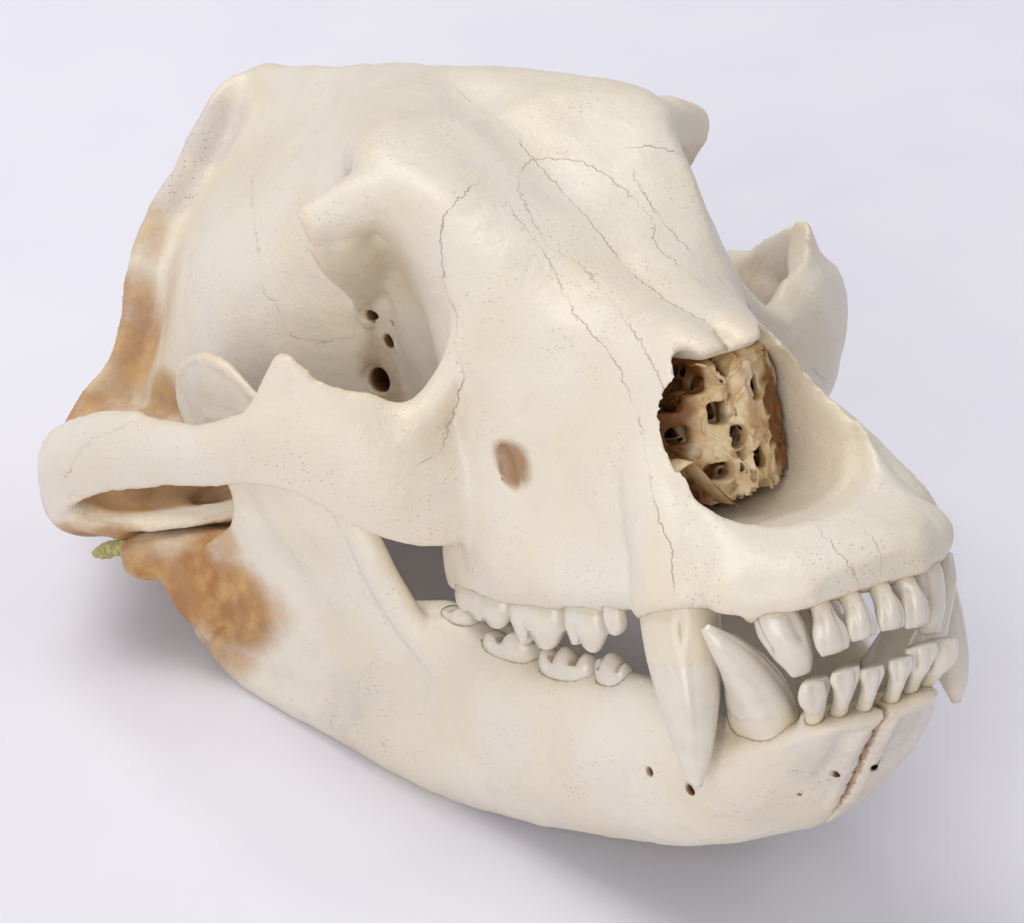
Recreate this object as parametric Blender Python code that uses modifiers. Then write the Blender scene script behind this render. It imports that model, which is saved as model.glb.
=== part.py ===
# Bear skull with its lower jaw, standing on the rear lower borders of the two jaw halves.
# The bones are modelled in the skull's own frame, in millimetres: x to its left, y to its
# back, z up, with the origin between the first upper incisors and the tooth row level.
# An empty then pitches the whole skull nose-up and lifts it on to the ground.
import math

import bmesh
import bpy
import numpy as np
from mathutils import Matrix, Vector

for old_object in list(bpy.data.objects):
    bpy.data.objects.remove(old_object, do_unlink=True)

# Driving dimensions, in millimetres and degrees
MM = 0.001
SKULL_PITCH = 20.8
GROUND_DROP = 125.0
FRONT_TO_CENTRE = 171.9
BONE_VOXEL = 2.8
HOLLOW_VOXEL = 1.6
SMOOTH_STEPS = 3
TOOTH_CLEARANCE = 0.4
HALF_JAW_GAP = 0.15
OTHER_SIDE_BLOCK = (200, 400, 400)
GROUND_BLOCK = 1000
CRANIUM_TRIANGLES = 2600
MANDIBLE_TRIANGLES = 450
LIMB_SIDES = 14
LIMB_STEPS = 4
SECTION_STEPS = 3

# Cranium: cross-sections of the body from the front teeth to the occiput.
# Each is its y and its right half, (half-width, height) from the top midline to the bottom.
CRANIUM_SECTIONS = (
    (-3, ((0, 8), (6, 8), (11, 7.5), (14.5, 6.5), (16.5, 5), (17.5, 3.5), (17, 2), (15, 0.8), (11, 0.3),
          (5, 0.5), (0, 0.8))),
    (3, ((0, 13), (8, 13), (15, 12.5), (20, 11), (23, 8), (25, 5), (25, 2), (22, -0.5), (16, 0),
         (8, 3), (0, 4))),
    (12, ((0, 17), (9, 17), (18, 16.5), (25, 15.5), (31, 12), (35, 8), (36, 4), (33, 0.5), (24, 3),
          (10, 6), (0, 7))),
    (24, ((0, 21), (9, 21.5), (18, 22.5), (26, 22.5), (30, 18), (33.5, 12), (36, 7), (36.5, 2), (30, 1),
          (14, 7), (0, 8))),
    (33, ((0, 33), (10, 33.5), (19, 34.5), (26, 34), (29.5, 27), (34, 17), (38.5, 8), (40, 1), (32, 0),
          (14, 7), (0, 8))),
    (43, ((0, 47), (9, 47.5), (17, 47.5), (23, 46), (26.5, 38), (31.5, 26), (37.5, 14), (42, -1), (33, -2),
          (14, 6), (0, 7))),
    (52, ((0, 60), (7, 60.5), (13, 58.5), (19, 53), (25, 43), (31.5, 30), (37.5, 14), (43, -4), (33, -5),
          (14, 5), (0, 6))),
    (66, ((0, 67), (8, 67.5), (15, 65), (20, 60), (26, 49), (31.5, 35), (37.5, 16), (45, -6), (33, -7),
          (15, 4), (0, 5.5))),
    (84, ((0, 72), (9, 72.5), (17, 70), (25, 64.5), (30, 53), (35, 38), (41, 17), (47, -7), (33, -8),
          (15, 3), (0, 5))),
    (100, ((0, 79), (11, 80), (21, 78), (30, 73), (35, 60), (39, 44), (44, 20), (49, -7.5), (33, -8.5),
           (15, 3), (0, 4.5))),
    (112, ((0, 87), (13, 88.5), (25, 88.5), (35, 86), (40, 75), (43, 58), (46, 30), (50, -8.5), (33, -9),
           (15, 3), (0, 4.5))),
    (122, ((0, 94), (14, 96), (28, 98), (39, 96), (43, 86), (44, 70), (47, 40), (50.5, -8.5), (34, -9),
           (15, 3), (0, 4))),
    (132, ((0, 100), (16, 102.5), (32, 106), (43, 104.5), (42, 94), (39, 74), (44, 42), (50.5, -8.5),
    (34, -9),
           (15, 3), (0, 4))),
    (146, ((0, 109), (18, 111.5), (36, 115.5), (50, 113), (43, 103), (35, 78), (38, 42), (50, -8.5),
           (34, -9), (15, 3), (0, 4))),
    (158, ((0, 116), (17, 118), (36, 120.5), (49, 113.5), (42, 103), (32, 78), (31, 46), (44, -7), (32, -8),
           (14, 3), (0, 4))),
    (172, ((0, 120.5), (15, 121.5), (31, 121.5), (41, 113), (38, 101), (30, 79), (26, 48), (28, 6),
           (24, -4), (12, 3), (0, 5))),
    (186, ((0, 124), (13, 124.5), (26, 122), (36, 112), (36, 99), (31, 79), (26, 50), (23, 24), (20, 0),
           (12, 2), (0, 8))),
    (202, ((0, 127), (11, 127), (22, 123), (32, 112), (35, 98), (34, 78), (29, 54), (24, 34), (20, 24),
           (10, 24), (0, 24))),
    (218, ((0, 128.5), (8, 128), (17, 123), (28, 112), (37, 97), (41, 78), (40, 58), (34, 38), (26, 26),
           (12, 23), (0, 23))),
    (236, ((0, 130), (5, 128.5), (12, 122), (25, 111), (38, 96), (47, 78), (48, 58), (44, 38), (34, 26),
           (14, 22), (0, 22))),
    (256, ((0, 130.5), (3.5, 128), (9, 120), (24, 109), (40, 95), (51, 77), (55, 57), (53, 37), (42, 24),
           (16, 20), (0, 20))),
    (278, ((0, 130.5), (3.5, 127.5), (9, 119), (24, 108), (41, 93), (53, 76), (58, 57), (60, 38), (50, 22),
           (20, 18), (0, 18))),
    (300, ((0, 130.5), (3.5, 127), (9, 118), (23, 106), (38, 92), (50, 76), (57, 57), (63, 40), (60, 22),
           (26, 16), (0, 17))),
    (316, ((0, 131), (4.5, 127), (10, 117.5), (20, 106), (34, 93), (45, 77), (52, 58), (61, 42), (64, 24),
           (28, 16), (0, 18))),
    (328, ((0, 130), (7, 125.5), (13, 116), (21, 104), (33, 91), (43, 77), (49, 58), (57, 42), (60, 26),
           (28, 18), (0, 20))),
    (337, ((0, 122), (7, 117), (13, 108), (20, 97), (29, 86), (38, 73), (43, 57), (48, 42), (48, 28),
           (26, 22), (0, 24))),
)

# Limbs are swept ovals: (x, y, z, half-width across, half-height up) at each station.
# They are given for the left side and made on both.
ZYGOMATIC_ARCH = (
    (34, 128, 26, 9, 12), (45, 129, 28, 9, 19), (57, 129.5, 31, 8, 20), (69, 132, 36, 6.5, 18.5),
    (80, 138, 42, 5.5, 16), (90, 147.5, 44.5, 5, 12.5), (95.5, 160, 44, 4.8, 10), (99, 178, 42.5, 4.8, 9.8),
    (102, 200, 42, 5, 10.8), (105.5, 226, 40.5, 5, 12), (109.5, 250, 36, 5.2, 12),
    (112, 266, 31, 5.5, 11.5), (110, 277, 22, 6, 10), (101, 280.5, 13, 7, 8), (86, 280, 13, 8, 7),
    (72, 280, 17, 9, 9), (58, 280, 22, 9, 10),
)
JUGAL_PROCESS = (
    (88, 150, 42, 5, 12), (85, 147, 54, 4.6, 10), (82, 144, 63, 4, 7), (81, 143, 67.5, 3.4, 5.6),
    (80.5, 142.5, 69.5, 2.6, 4),
)
POSTORBITAL_PROCESS = (
    (36, 146, 107, 15, 9), (48, 151, 105, 10, 7.5), (57, 156, 101.5, 6.5, 5.5), (61.5, 160, 97.5, 4.8, 4.8),
    (63.2, 162, 95, 3.4, 3.4),
)
SUPRAORBITAL_RIDGE = ((39, 118, 84, 3, 8), (40, 125, 94, 3.6, 6), (42, 134, 103, 4, 5),
                      (46, 145, 109, 5, 4.5))
CANINE_BULGE = ((33, 36.5, -1, 11, 15.5), (31.5, 38, 8, 9.5, 14.5), (29.5, 45, 20, 8, 12),
                (25.5, 57, 33, 7, 9), (22, 68, 42, 3, 4))
NUCHAL_CREST = (
    (0, 328, 122, 4.5, 8.5), (10, 328, 119, 4.2, 9), (19, 327, 110, 3.8, 9), (29, 327, 98, 3.6, 9),
    (40, 328, 87, 3.6, 9), (49, 328, 74, 4, 8), (53, 327, 59, 3.6, 8), (61, 326, 43, 3.6, 8),
    (73, 326, 32, 4, 8), (82, 324, 25, 4.5, 8),
)
SQUAMOSAL_SHELF = ((95, 281, 20, 15, 5), (82, 293, 26, 20, 6), (75, 307, 29, 18, 6.5), (74, 321, 30, 13, 6))
MASTOID = ((72, 312, 34, 12, 9), (78, 310, 16, 9, 8), (79, 309, 5, 7, 6.5), (79, 309, 0, 5, 4.5))
JUGULAR_PROCESS = ((46, 326, 20, 9, 7), (52, 328, 8, 6, 6), (54, 329, -1, 5, 5), (54.5, 329, -5.5, 4, 4))
OCCIPITAL_CONDYLE = ((9, 330, 22, 6, 7), (17, 340, 24, 7, 8), (22, 344, 33, 7, 9), (21, 341, 44, 6, 7),
                     (17, 336, 50, 3, 4))
AUDITORY_BULLA = ((22, 272, 14, 7, 6), (33, 282, 11, 13, 10), (44, 289, 12, 12, 9), (58, 290, 16, 8, 8),
                  (76, 288, 20, 6, 7))
GLENOID_SHELF = ((44, 256, 22, 12, 8), (62, 258, 15, 14, 7.5), (80, 263, 14, 14, 6.5), (98, 269, 16, 12, 6))
POSTGLENOID_PROCESS = ((58, 266, 12, 4, 7), (70, 268.5, 9, 4, 8.5), (84, 273, 8, 4, 8), (96, 278, 9, 4, 6))
PTERYGOID_PLATE = (
    (25, 172, 4, 5, 9), (22.5, 190, 10, 2.8, 15), (21, 210, 11, 2.6, 16), (20, 226, 9, 2.6, 15),
    (19, 238, 6, 2.4, 12), (18.5, 243, 0, 1.8, 6),
)
NASAL_LOBE = ((6.5, 62, 61, 6.5, 5), (6.8, 54, 59, 6, 4.2), (6.6, 48, 56.8, 5, 3.4),
              (6.4, 45, 55, 2.4, 1.8))
SCROLL_BONES = ((10, 116, 40, 7, 14), (10.5, 98, 40, 9.5, 19), (11, 80, 38, 10.5, 20),
                (10.5, 66, 36, 9, 16), (10, 60, 34, 4, 8))

# Hollows of the cranium, swept in the same way
NASAL_CAVITY = (
    (0, 2, 46, 15, 20), (0, 14, 42, 20, 24), (0, 26, 40, 23, 23), (0, 36, 38, 24, 22), (0, 43, 37, 23, 20),
    (0, 49, 34.5, 22, 18), (0, 64, 36.5, 21, 20.5), (0, 84, 38, 21, 22), (0, 104, 40, 17, 19),
    (0, 116, 40, 9, 9),
)
FORAMEN_MAGNUM = ((0, 360, 34, 15, 12), (0, 338, 36, 13.5, 11.5), (0, 320, 40, 15, 13),
                  (0, 300, 46, 22, 18), (0, 284, 50, 8, 8))
INFRAORBITAL_CANAL = ((50, 88, 30, 2.6, 8.5), (44, 104, 33, 2.6, 8.5), (41, 118, 36, 2.4, 6.5),
                      (39, 128, 39, 1.4, 3))
ORBIT_HOLES = (
    ((31, 199, 65), 2.2, 9), ((31, 198, 56), 2.4, 9), ((30, 206, 43), 4.4, 12),
)
ORBIT_HOLLOW = ((60, 142, 77), (19, 21, 25))
GLENOID_FOSSA = ((46, 251, 0, 10.6, 10.6), (62, 254.5, -1.5, 10.6, 10.6), (80, 260, -1, 10.6, 10.6),
                 (97, 265.5, -1, 10.6, 10.6))
CHOANA = ((0, 178, 12, 13, 6), (0, 190, 13, 15, 9), (0, 206, 14, 16, 11), (0, 226, 12, 16, 12),
          (0, 250, 6, 16, 14))

# Lower jaw: cross-sections of its left half, (x, z) round the ring
MANDIBLE_SECTIONS = (
    (-1, ((0, -30), (5, -28), (11, -28), (15, -29.5), (14, -32), (9, -33), (4, -33), (0, -32))),
    (4, ((0, -30), (6, -27.5), (14, -28), (19, -31), (17, -36), (11, -38), (4, -38), (0, -35))),
    (10, ((0, -33), (8, -29), (18, -30.5), (21, -34), (17.5, -40), (11, -44.5), (4, -45), (0, -39))),
    (18, ((0, -38), (11, -32), (23, -34), (26.5, -38), (20.5, -46), (12, -52), (4, -53), (0, -46))),
    (27, ((0, -44), (15, -35), (28, -35.5), (31.5, -41.5), (26, -53), (15, -59.5), (4, -61.5), (0, -53))),
    (38, ((0, -50), (19, -37), (30, -37), (34, -46), (28, -60), (15, -68), (4, -69.5), (0, -60))),
    (52, ((1, -57), (22, -34), (31, -34), (35, -47), (32, -62), (21, -73), (7, -74), (1, -66))),
    (68, ((10, -60), (26, -28), (35, -28), (39, -46), (37, -63), (27, -76), (17, -76), (11, -68))),
    (86, ((19, -54), (28, -28), (39, -28.5), (43, -45), (41, -64), (30, -78), (22, -77.5), (17, -66))),
    (110, ((25, -50), (31, -29), (43, -30), (47, -46), (46, -65), (36, -78.5), (28, -77.5), (24, -66))),
    (134, ((30, -46), (34, -24), (47, -25), (52, -43), (52, -62), (43, -77), (35, -76), (30, -62))),
    (156, ((36, -40), (39, -16), (51, -16.5), (57, -38), (59, -59), (50, -73), (43, -71), (37, -58))),
    (176, ((46, -36), (50, -16), (57, -16), (62, -36), (64, -55), (57.5, -67), (51, -65), (46, -54))),
    (198, ((56, -38), (58, -20), (64, -20), (68, -38), (70, -49), (65, -58), (58, -56), (55, -48))),
    (222, ((65, -38), (66, -26), (71, -26), (75, -38), (76, -44), (72, -51), (67, -50), (64, -44))),
    (242, ((72, -34), (73, -26), (77, -26), (80, -33), (81, -37), (78, -42), (74, -41), (71, -38))),
    (256, ((76, -29), (76.5, -25), (79, -25), (81.5, -28), (82, -30), (80, -33), (77, -33), (75.5, -31))),
)
# Ramus: (z, front x, front y, back x, back y, thickness) of flat oval slices, bottom to top
RAMUS_SLICES = (
    (-60, 50, 150, 60, 190, 6), (-48, 52, 152, 68, 214, 7), (-36, 54, 153, 77, 240, 7),
    (-26, 56, 158, 81, 257, 7), (-14, 58, 160, 83, 264, 7), (-2, 61, 161, 80, 260, 7),
    (12, 64, 162, 77, 248, 6.5), (26, 67, 173, 76, 248, 6), (40, 70, 190, 75, 252, 5.5),
    (50, 72, 205, 74.5, 252, 5), (56, 73, 216, 74.5, 246, 4), (59, 73.5, 226, 74.5, 238, 2.5),
)
RAMUS_FRONT_RIDGE = (
    (50, 152, -30, 5, 6), (54, 159, -20, 5, 5), (59, 163, -6, 4.5, 5), (63.5, 166, 12, 4, 5),
    (67, 178, 28, 3.5, 4.5), (70.5, 193, 42, 3.2, 4), (72, 206, 51, 2.4, 3),
)
MANDIBLE_CONDYLE = (
    (57, 252, -4, 4, 4), (62, 253.5, -2.5, 7.8, 7.6), (74, 257.5, -2, 8.4, 8.2), (86, 261.5, -1.5, 8.2, 8),
    (95, 265, -1, 7, 7), (99, 266.5, -1, 3.5, 3.5),
)
CONDYLE_NECK = ((80, 258, -3, 12, 7), (80, 254, -14, 10, 7), (78, 246, -26, 6, 9))
ANGULAR_PROCESS = ((72, 238, -34, 4, 6), (77, 252, -30, 3.8, 5), (79.5, 261, -27, 3, 4),
                   (80, 265, -25, 1.5, 2))
FORAMEN_SIDES = 8
MENTAL_HOLES = (
    ((43, 62, -49), (1, -0.35, 0.1), 1.9, 5), ((36, 49, -53), (1, -0.4, 0.1), 2.4, 5),
    ((10, 17, -49), (0.5, -1, 0.2), 2.0, 5),
)

# Front teeth: swept ovals from the root to the tip, (x, y, z, half-width, half-depth)
FRONT_TEETH = {
    "upper_incisor_1": ((4.2, 8, 12, 2.2, 2.6), (4.4, 1.5, 2, 3.2, 4), (4.5, -3, -5, 3.9, 3.8),
                        (4.4, -3.6, -9.5, 3.4, 2.4), (4.3, -3, -11.3, 2.2, 1.2)),
    "upper_incisor_2": ((12, 9, 12, 2.4, 2.8), (12.2, 3, 2, 3.4, 4.2), (12.6, -1, -5.5, 4.1, 4),
                        (12.4, -1.6, -10.5, 3.6, 2.6), (12.2, -1, -12.3, 2.4, 1.4)),
    "upper_incisor_3": ((22, 16, 11, 3.4, 3.8), (22.2, 9.5, 1, 4.8, 6), (22, 6.5, -6, 5.8, 6.4),
                        (21.4, 5.2, -12.5, 4.6, 4.2), (21, 5, -16.7, 2, 1.8)),
    "upper_canine": ((30.5, 45, 18, 6.5, 9), (32.3, 39, 7, 8.6, 12), (34, 36.4, -2, 9.6, 12.6),
                     (36.3, 33.8, -13, 8.8, 10.8), (38.5, 31.2, -26, 6.6, 8.6),
                     (40, 30.2, -37, 4.2, 5.4), (40.4, 30.9, -46, 1.3, 1.4)),
    "lower_incisor_1": ((4.4, 15, -40, 1.8, 2.2), (4.3, 8, -34, 2.2, 2.8), (4.2, 1, -28, 2.6, 3.2),
                        (4.3, -4, -21.5, 3.2, 2.8), (4.3, -5, -18.4, 2.4, 1.5)),
    "lower_incisor_2": ((10, 16, -39, 1.9, 2.4), (10.6, 9, -33.5, 2.4, 3.2), (11.2, 2, -27.5, 2.9, 3.6),
                        (11.4, -2.8, -20.5, 3.3, 3), (11.4, -3.8, -17.4, 2.5, 1.6)),
    "lower_incisor_3": ((13.8, 14.5, -36.5, 1.4, 1.8), (15.4, 9.5, -32.5, 2, 2.4),
                        (17.4, 4.4, -28, 3, 3.2), (18.6, 0.6, -22.5, 3.5, 3.4), (18.6, -0.4, -19, 2.6, 2)),
    "lower_canine": ((17, 44, -53, 4.5, 6), (17.6, 35, -44, 7, 9.6), (19.8, 27.5, -34.5, 8, 11),
                     (23.4, 21.2, -24.5, 7.6, 9.6), (28.4, 17.8, -15, 5.8, 6.4),
                     (33.6, 17, -7.5, 3.7, 3.9), (37.2, 18.2, -2.2, 1.3, 1.3)),
}
# Cheek teeth: middle (x, y) and gum height, length, width, crown height, root depth, turn
# of the row in degrees, and cusps as (angle from the outer side, height above the valley)
CHEEK_TEETH = {
    "upper_premolar_3": (38.8, 64, -3.3, 8, 5, 7.5, 6, 5, ((0, 1.0),)),
    "upper_premolar_4": (38.2, 80.5, -5.5, 18.5, 10.5, 11.5, 7, 5, ((-36, 1.0), (36, 0.75), (150, 0.4))),
    "upper_molar_1": (39.2, 106, -6.8, 27, 13.5, 12.5, 7, 4,
                      ((-36, 1.0), (36, 0.98), (144, 0.55), (-144, 0.55))),
    "upper_molar_2": (39.8, 137, -7.2, 32, 14.5, 10, 7, 2,
                      ((-54, 0.95), (0, 0.75), (54, 0.4), (144, 0.5), (-144, 0.5))),
    "lower_premolar_4": (33.8, 80.5, -29.8, 14, 7.6, 9.5, 7, 9, ((-18, 1.0), (90, 0.45), (-90, 0.4))),
    "lower_molar_1": (36, 102, -29.5, 26, 10, 9, 7, 8, ((-72, 0.65), (-18, 1.0), (45, 0.8), (150, 0.75))),
    "lower_molar_2": (39.2, 129, -26.2, 25, 12, 7.5, 7, 8, ((-45, 1.0), (36, 0.8), (144, 0.75), (-144, 0.8))),
    "lower_molar_3": (42.6, 151, -18.6, 15.5, 11, 5.4, 6, 10, ((-36, 1.0), (60, 0.7), (180, 0.75))),
}
CHEEK_TOOTH_POINTS = 10
FRONT_TOOTH_SIDES = 8

# Dried scrap of tissue that hangs out of the right jaw joint
TISSUE_SCRAP = ((-93, 272, 1.6, 0.9, 2), (-95, 277, 0.8, 0.8, 2.4), (-97, 284, -0.6, 0.7, 2.6),
                (-98.5, 292, -2.4, 0.6, 1.2))

SIDES = {"right": -1, "left": 1}


def smooth_path(points, steps, closed=False):
    """Catmull-Rom curve through the points, with the given steps between each two."""
    points = np.asarray(points, dtype=float)
    count = len(points)
    spans = count if closed else count - 1
    result = []
    for span in range(spans):
        if closed:
            before, start, end, after = (points[(span + k) % count] for k in (-1, 0, 1, 2))
        else:
            start, end = points[span], points[span + 1]
            before = points[span - 1] if span > 0 else 2 * start - end
            after = points[span + 2] if span + 2 < count else 2 * end - start
        for step in range(steps):
            t = step / steps
            result.append(0.5 * (2 * start + (end - before) * t
                                 + (2 * before - 5 * start + 4 * end - after) * t ** 2
                                 + (3 * start - before - 3 * end + after) * t ** 3))
    if not closed:
        result.append(points[-1])
    return np.array(result)


def loft(bm, rings):
    """Closed skin over the rings, with both ends closed by a fan. Each four-sided patch is split
    the same way, so that a tooth and its wider socket keep the same distance all over."""
    rows = [[bm.verts.new(Vector(point) * MM) for point in ring] for ring in rings]
    count = len(rows[0])
    for low, high in zip(rows, rows[1:]):
        for i in range(count):
            j = (i + 1) % count
            bm.faces.new((low[i], low[j], high[j]))
            bm.faces.new((low[i], high[j], high[i]))
    for row, ring in ((rows[0][::-1], rings[0]), (rows[-1], rings[-1])):
        middle = bm.verts.new(Vector(np.mean(ring, axis=0)) * MM)
        for i in range(count):
            bm.faces.new((row[i], row[(i + 1) % count], middle))


def oval_rings(stations, sides=LIMB_SIDES, steps=LIMB_STEPS):
    """Rings of ovals square to a smooth path through the stations."""
    path = smooth_path(stations, steps)
    centres = path[:, :3]
    tangents = np.gradient(centres, axis=0)
    tangents /= np.linalg.norm(tangents, axis=1)[:, None]
    upright = abs(tangents[:, 2]).mean() > 0.75
    up_axis = np.array((0.0, 1.0, 0.0)) if upright else np.array((0.0, 0.0, 1.0))
    angles = np.linspace(0, 2 * math.pi, sides, endpoint=False)
    rings = []
    for centre, tangent, width, height in zip(centres, tangents, path[:, 3], path[:, 4]):
        side = np.cross(tangent, up_axis)
        side /= np.linalg.norm(side)
        up = np.cross(side, tangent)
        width = max(width, 0.3)
        height = max(height, 0.3)
        rings.append(centre + np.outer(width * np.cos(angles), side) + np.outer(height * np.sin(angles),
        up))
    return rings


def mirrored(stations, sign):
    return [(station[0] * sign, *station[1:]) for station in stations]


def grown(stations, clearance):
    """The same sweep, wider and longer all round by the clearance."""
    if clearance == 0:
        return stations
    result = np.array(stations, dtype=float)
    for end, inner in ((0, 1), (-1, -2)):
        outward = result[end, :3] - result[inner, :3]
        result[end, :3] += outward / np.linalg.norm(outward) * clearance
    result[:, 3:] += clearance
    return result


def object_from(bm, name, collection):
    bmesh.ops.recalc_face_normals(bm, faces=bm.faces)
    mesh = bpy.data.meshes.new(name)
    bm.to_mesh(mesh)
    bm.free()
    thing = bpy.data.objects.new(name, mesh)
    collection.objects.link(thing)
    return thing


def ball_rings(centre, radii, sides=16, rows=10):
    rings = []
    for row in range(1, rows):
        polar = math.pi * row / rows
        angles = np.linspace(0, 2 * math.pi, sides, endpoint=False)
        rings.append(np.stack((centre[0] + radii[0] * math.sin(polar) * np.cos(angles),
                               centre[1] + radii[1] * math.sin(polar) * np.sin(angles),
                               np.full(sides, centre[2] + radii[2] * math.cos(polar))), axis=1))
    return rings


def section_rings(sections):
    """Full rings from half sections, smoothed round each ring and along the skull."""
    rings = []
    for y, half in sections:
        left = [(x, y, z) for x, z in half]
        right = [(-x, y, z) for x, z in half[-2:0:-1]]
        rings.append(smooth_path(left + right, SECTION_STEPS, closed=True))
    return along_skull(rings)


def along_skull(rings):
    flat = smooth_path([ring.ravel() for ring in rings], SECTION_STEPS)
    return [row.reshape(-1, 3) for row in flat]


def material(name, colour, roughness, coat=0.0):
    made = bpy.data.materials.new(name)
    made.use_nodes = True
    shader = made.node_tree.nodes["Principled BSDF"]
    shader.inputs["Base Color"].default_value = (*colour, 1.0)
    shader.inputs["Roughness"].default_value = roughness
    shader.inputs["Metallic"].default_value = 0.0
    shader.inputs["Coat Weight"].default_value = coat
    return made


def add_remesh(bone, voxel, smooth_steps):
    remesh = bone.modifiers.new("fuse", "REMESH")
    remesh.mode = "VOXEL"
    remesh.voxel_size = voxel * MM
    smooth = bone.modifiers.new("soften", "SMOOTH")
    smooth.factor = 0.5
    smooth.iterations = smooth_steps


def add_boolean(bone, name, cutter, operation="DIFFERENCE"):
    cut = bone.modifiers.new(name, "BOOLEAN")
    cut.operation = operation
    cut.solver = "EXACT"
    cut.object = cutter


def add_decimate(bone, triangles):
    """Collapse to about the given number of triangles."""
    bpy.context.view_layer.update()
    evaluated = bone.evaluated_get(bpy.context.evaluated_depsgraph_get())
    mesh = evaluated.to_mesh()
    mesh.calc_loop_triangles()
    now = len(mesh.loop_triangles)
    evaluated.to_mesh_clear()
    reduce = bone.modifiers.new("facets", "DECIMATE")
    reduce.decimate_type = "COLLAPSE"
    reduce.use_collapse_triangulate = True
    reduce.ratio = min(1.0, triangles / now)


def as_cutter(thing, pose):
    thing.parent = pose
    thing.hide_render = True
    thing.display_type = "WIRE"


def round_hole(bm, middle, direction, radius, depth):
    axis = Vector(direction).normalized()
    turn = axis.to_track_quat("Z", "Y").to_matrix().to_4x4()
    bmesh.ops.create_cone(bm, cap_ends=True, segments=FORAMEN_SIDES, radius1=radius * MM, radius2=radius * MM,
                          depth=2 * depth * MM, matrix=Matrix.Translation(Vector(middle) * MM) @ turn)


def build_cranium(collection, cutters, pose):
    bm = bmesh.new()
    loft(bm, section_rings(CRANIUM_SECTIONS))
    paired = (ZYGOMATIC_ARCH, JUGAL_PROCESS, POSTORBITAL_PROCESS, SUPRAORBITAL_RIDGE, CANINE_BULGE,
              NUCHAL_CREST, SQUAMOSAL_SHELF, MASTOID, JUGULAR_PROCESS, OCCIPITAL_CONDYLE, AUDITORY_BULLA,
              GLENOID_SHELF, POSTGLENOID_PROCESS, PTERYGOID_PLATE, NASAL_LOBE)
    for stations in paired:
        for sign in SIDES.values():
            loft(bm, oval_rings(mirrored(stations, sign)))
    cranium = object_from(bm, "cranium", collection)
    cranium.parent = pose

    bm = bmesh.new()
    for stations in (NASAL_CAVITY, FORAMEN_MAGNUM, CHOANA):
        loft(bm, oval_rings(stations))
    for sign in SIDES.values():
        for stations in (INFRAORBITAL_CANAL, GLENOID_FOSSA):
            loft(bm, oval_rings(mirrored(stations, sign)))
        centre, radii = ORBIT_HOLLOW
        loft(bm, ball_rings((centre[0] * sign, *centre[1:]), radii))
        for middle, radius, depth in ORBIT_HOLES:
            round_hole(bm, (middle[0] * sign, *middle[1:]), (-sign, 0.5, 0), radius, depth)
    hollows = object_from(bm, "cranium_hollows", cutters)
    as_cutter(hollows, pose)
    add_remesh(hollows, HOLLOW_VOXEL, 1)

    bm = bmesh.new()
    for sign in SIDES.values():
        loft(bm, oval_rings(mirrored(SCROLL_BONES, sign), sides=8, steps=2))
    scrolls = object_from(bm, "scroll_bones", cutters)
    as_cutter(scrolls, pose)

    add_remesh(cranium, BONE_VOXEL, SMOOTH_STEPS)
    add_boolean(cranium, "hollows", hollows)
    add_decimate(cranium, CRANIUM_TRIANGLES)
    add_boolean(cranium, "scroll_bones", scrolls, "UNION")
    return cranium


def ramus_rings(sign):
    path = smooth_path(RAMUS_SLICES, SECTION_STEPS)
    angles = np.linspace(0, 2 * math.pi, LIMB_SIDES, endpoint=False)
    rings = []
    for z, front_x, front_y, back_x, back_y, thickness in path:
        middle = np.array(((front_x + back_x) / 2, (front_y + back_y) / 2))
        reach = np.array((back_x - front_x, back_y - front_y)) / 2
        across = np.array((reach[1], -reach[0])) / np.linalg.norm(reach) * thickness / 2
        flat = middle + np.outer(np.cos(angles), reach) + np.outer(np.sin(angles), across)
        rings.append(np.column_stack((flat[:, 0] * sign, flat[:, 1], np.full(len(flat), z))))
    return rings


def build_mandible(name, sign, collection, cutters, pose):
    bm = bmesh.new()
    rings = []
    for y, ring in MANDIBLE_SECTIONS:
        points = [((x + HALF_JAW_GAP) * sign, y, z) for x, z in ring]
        rings.append(smooth_path(points, SECTION_STEPS, closed=True))
    loft(bm, along_skull(rings))
    loft(bm, ramus_rings(sign))
    for stations in (RAMUS_FRONT_RIDGE, MANDIBLE_CONDYLE, CONDYLE_NECK, ANGULAR_PROCESS):
        loft(bm, oval_rings(mirrored(stations, sign)))
    bone = object_from(bm, name, collection)
    bone.parent = pose

    bm = bmesh.new()
    for middle, direction, radius, depth in MENTAL_HOLES:
        round_hole(bm, (middle[0] * sign, *middle[1:]), (direction[0] * sign, *direction[1:]),
        radius, depth)
    holes = object_from(bm, name + "_holes", cutters)
    as_cutter(holes, pose)

    wide, long, high = OTHER_SIDE_BLOCK
    other_side = block(name + "_other_side", (sign * (HALF_JAW_GAP - wide / 2), long / 2 - 50, 0),
                       OTHER_SIDE_BLOCK, cutters)
    as_cutter(other_side, pose)

    add_remesh(bone, BONE_VOXEL, SMOOTH_STEPS)
    add_decimate(bone, MANDIBLE_TRIANGLES)
    add_boolean(bone, "other_side", other_side)
    add_boolean(bone, "mental_holes", holes)
    return bone


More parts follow.
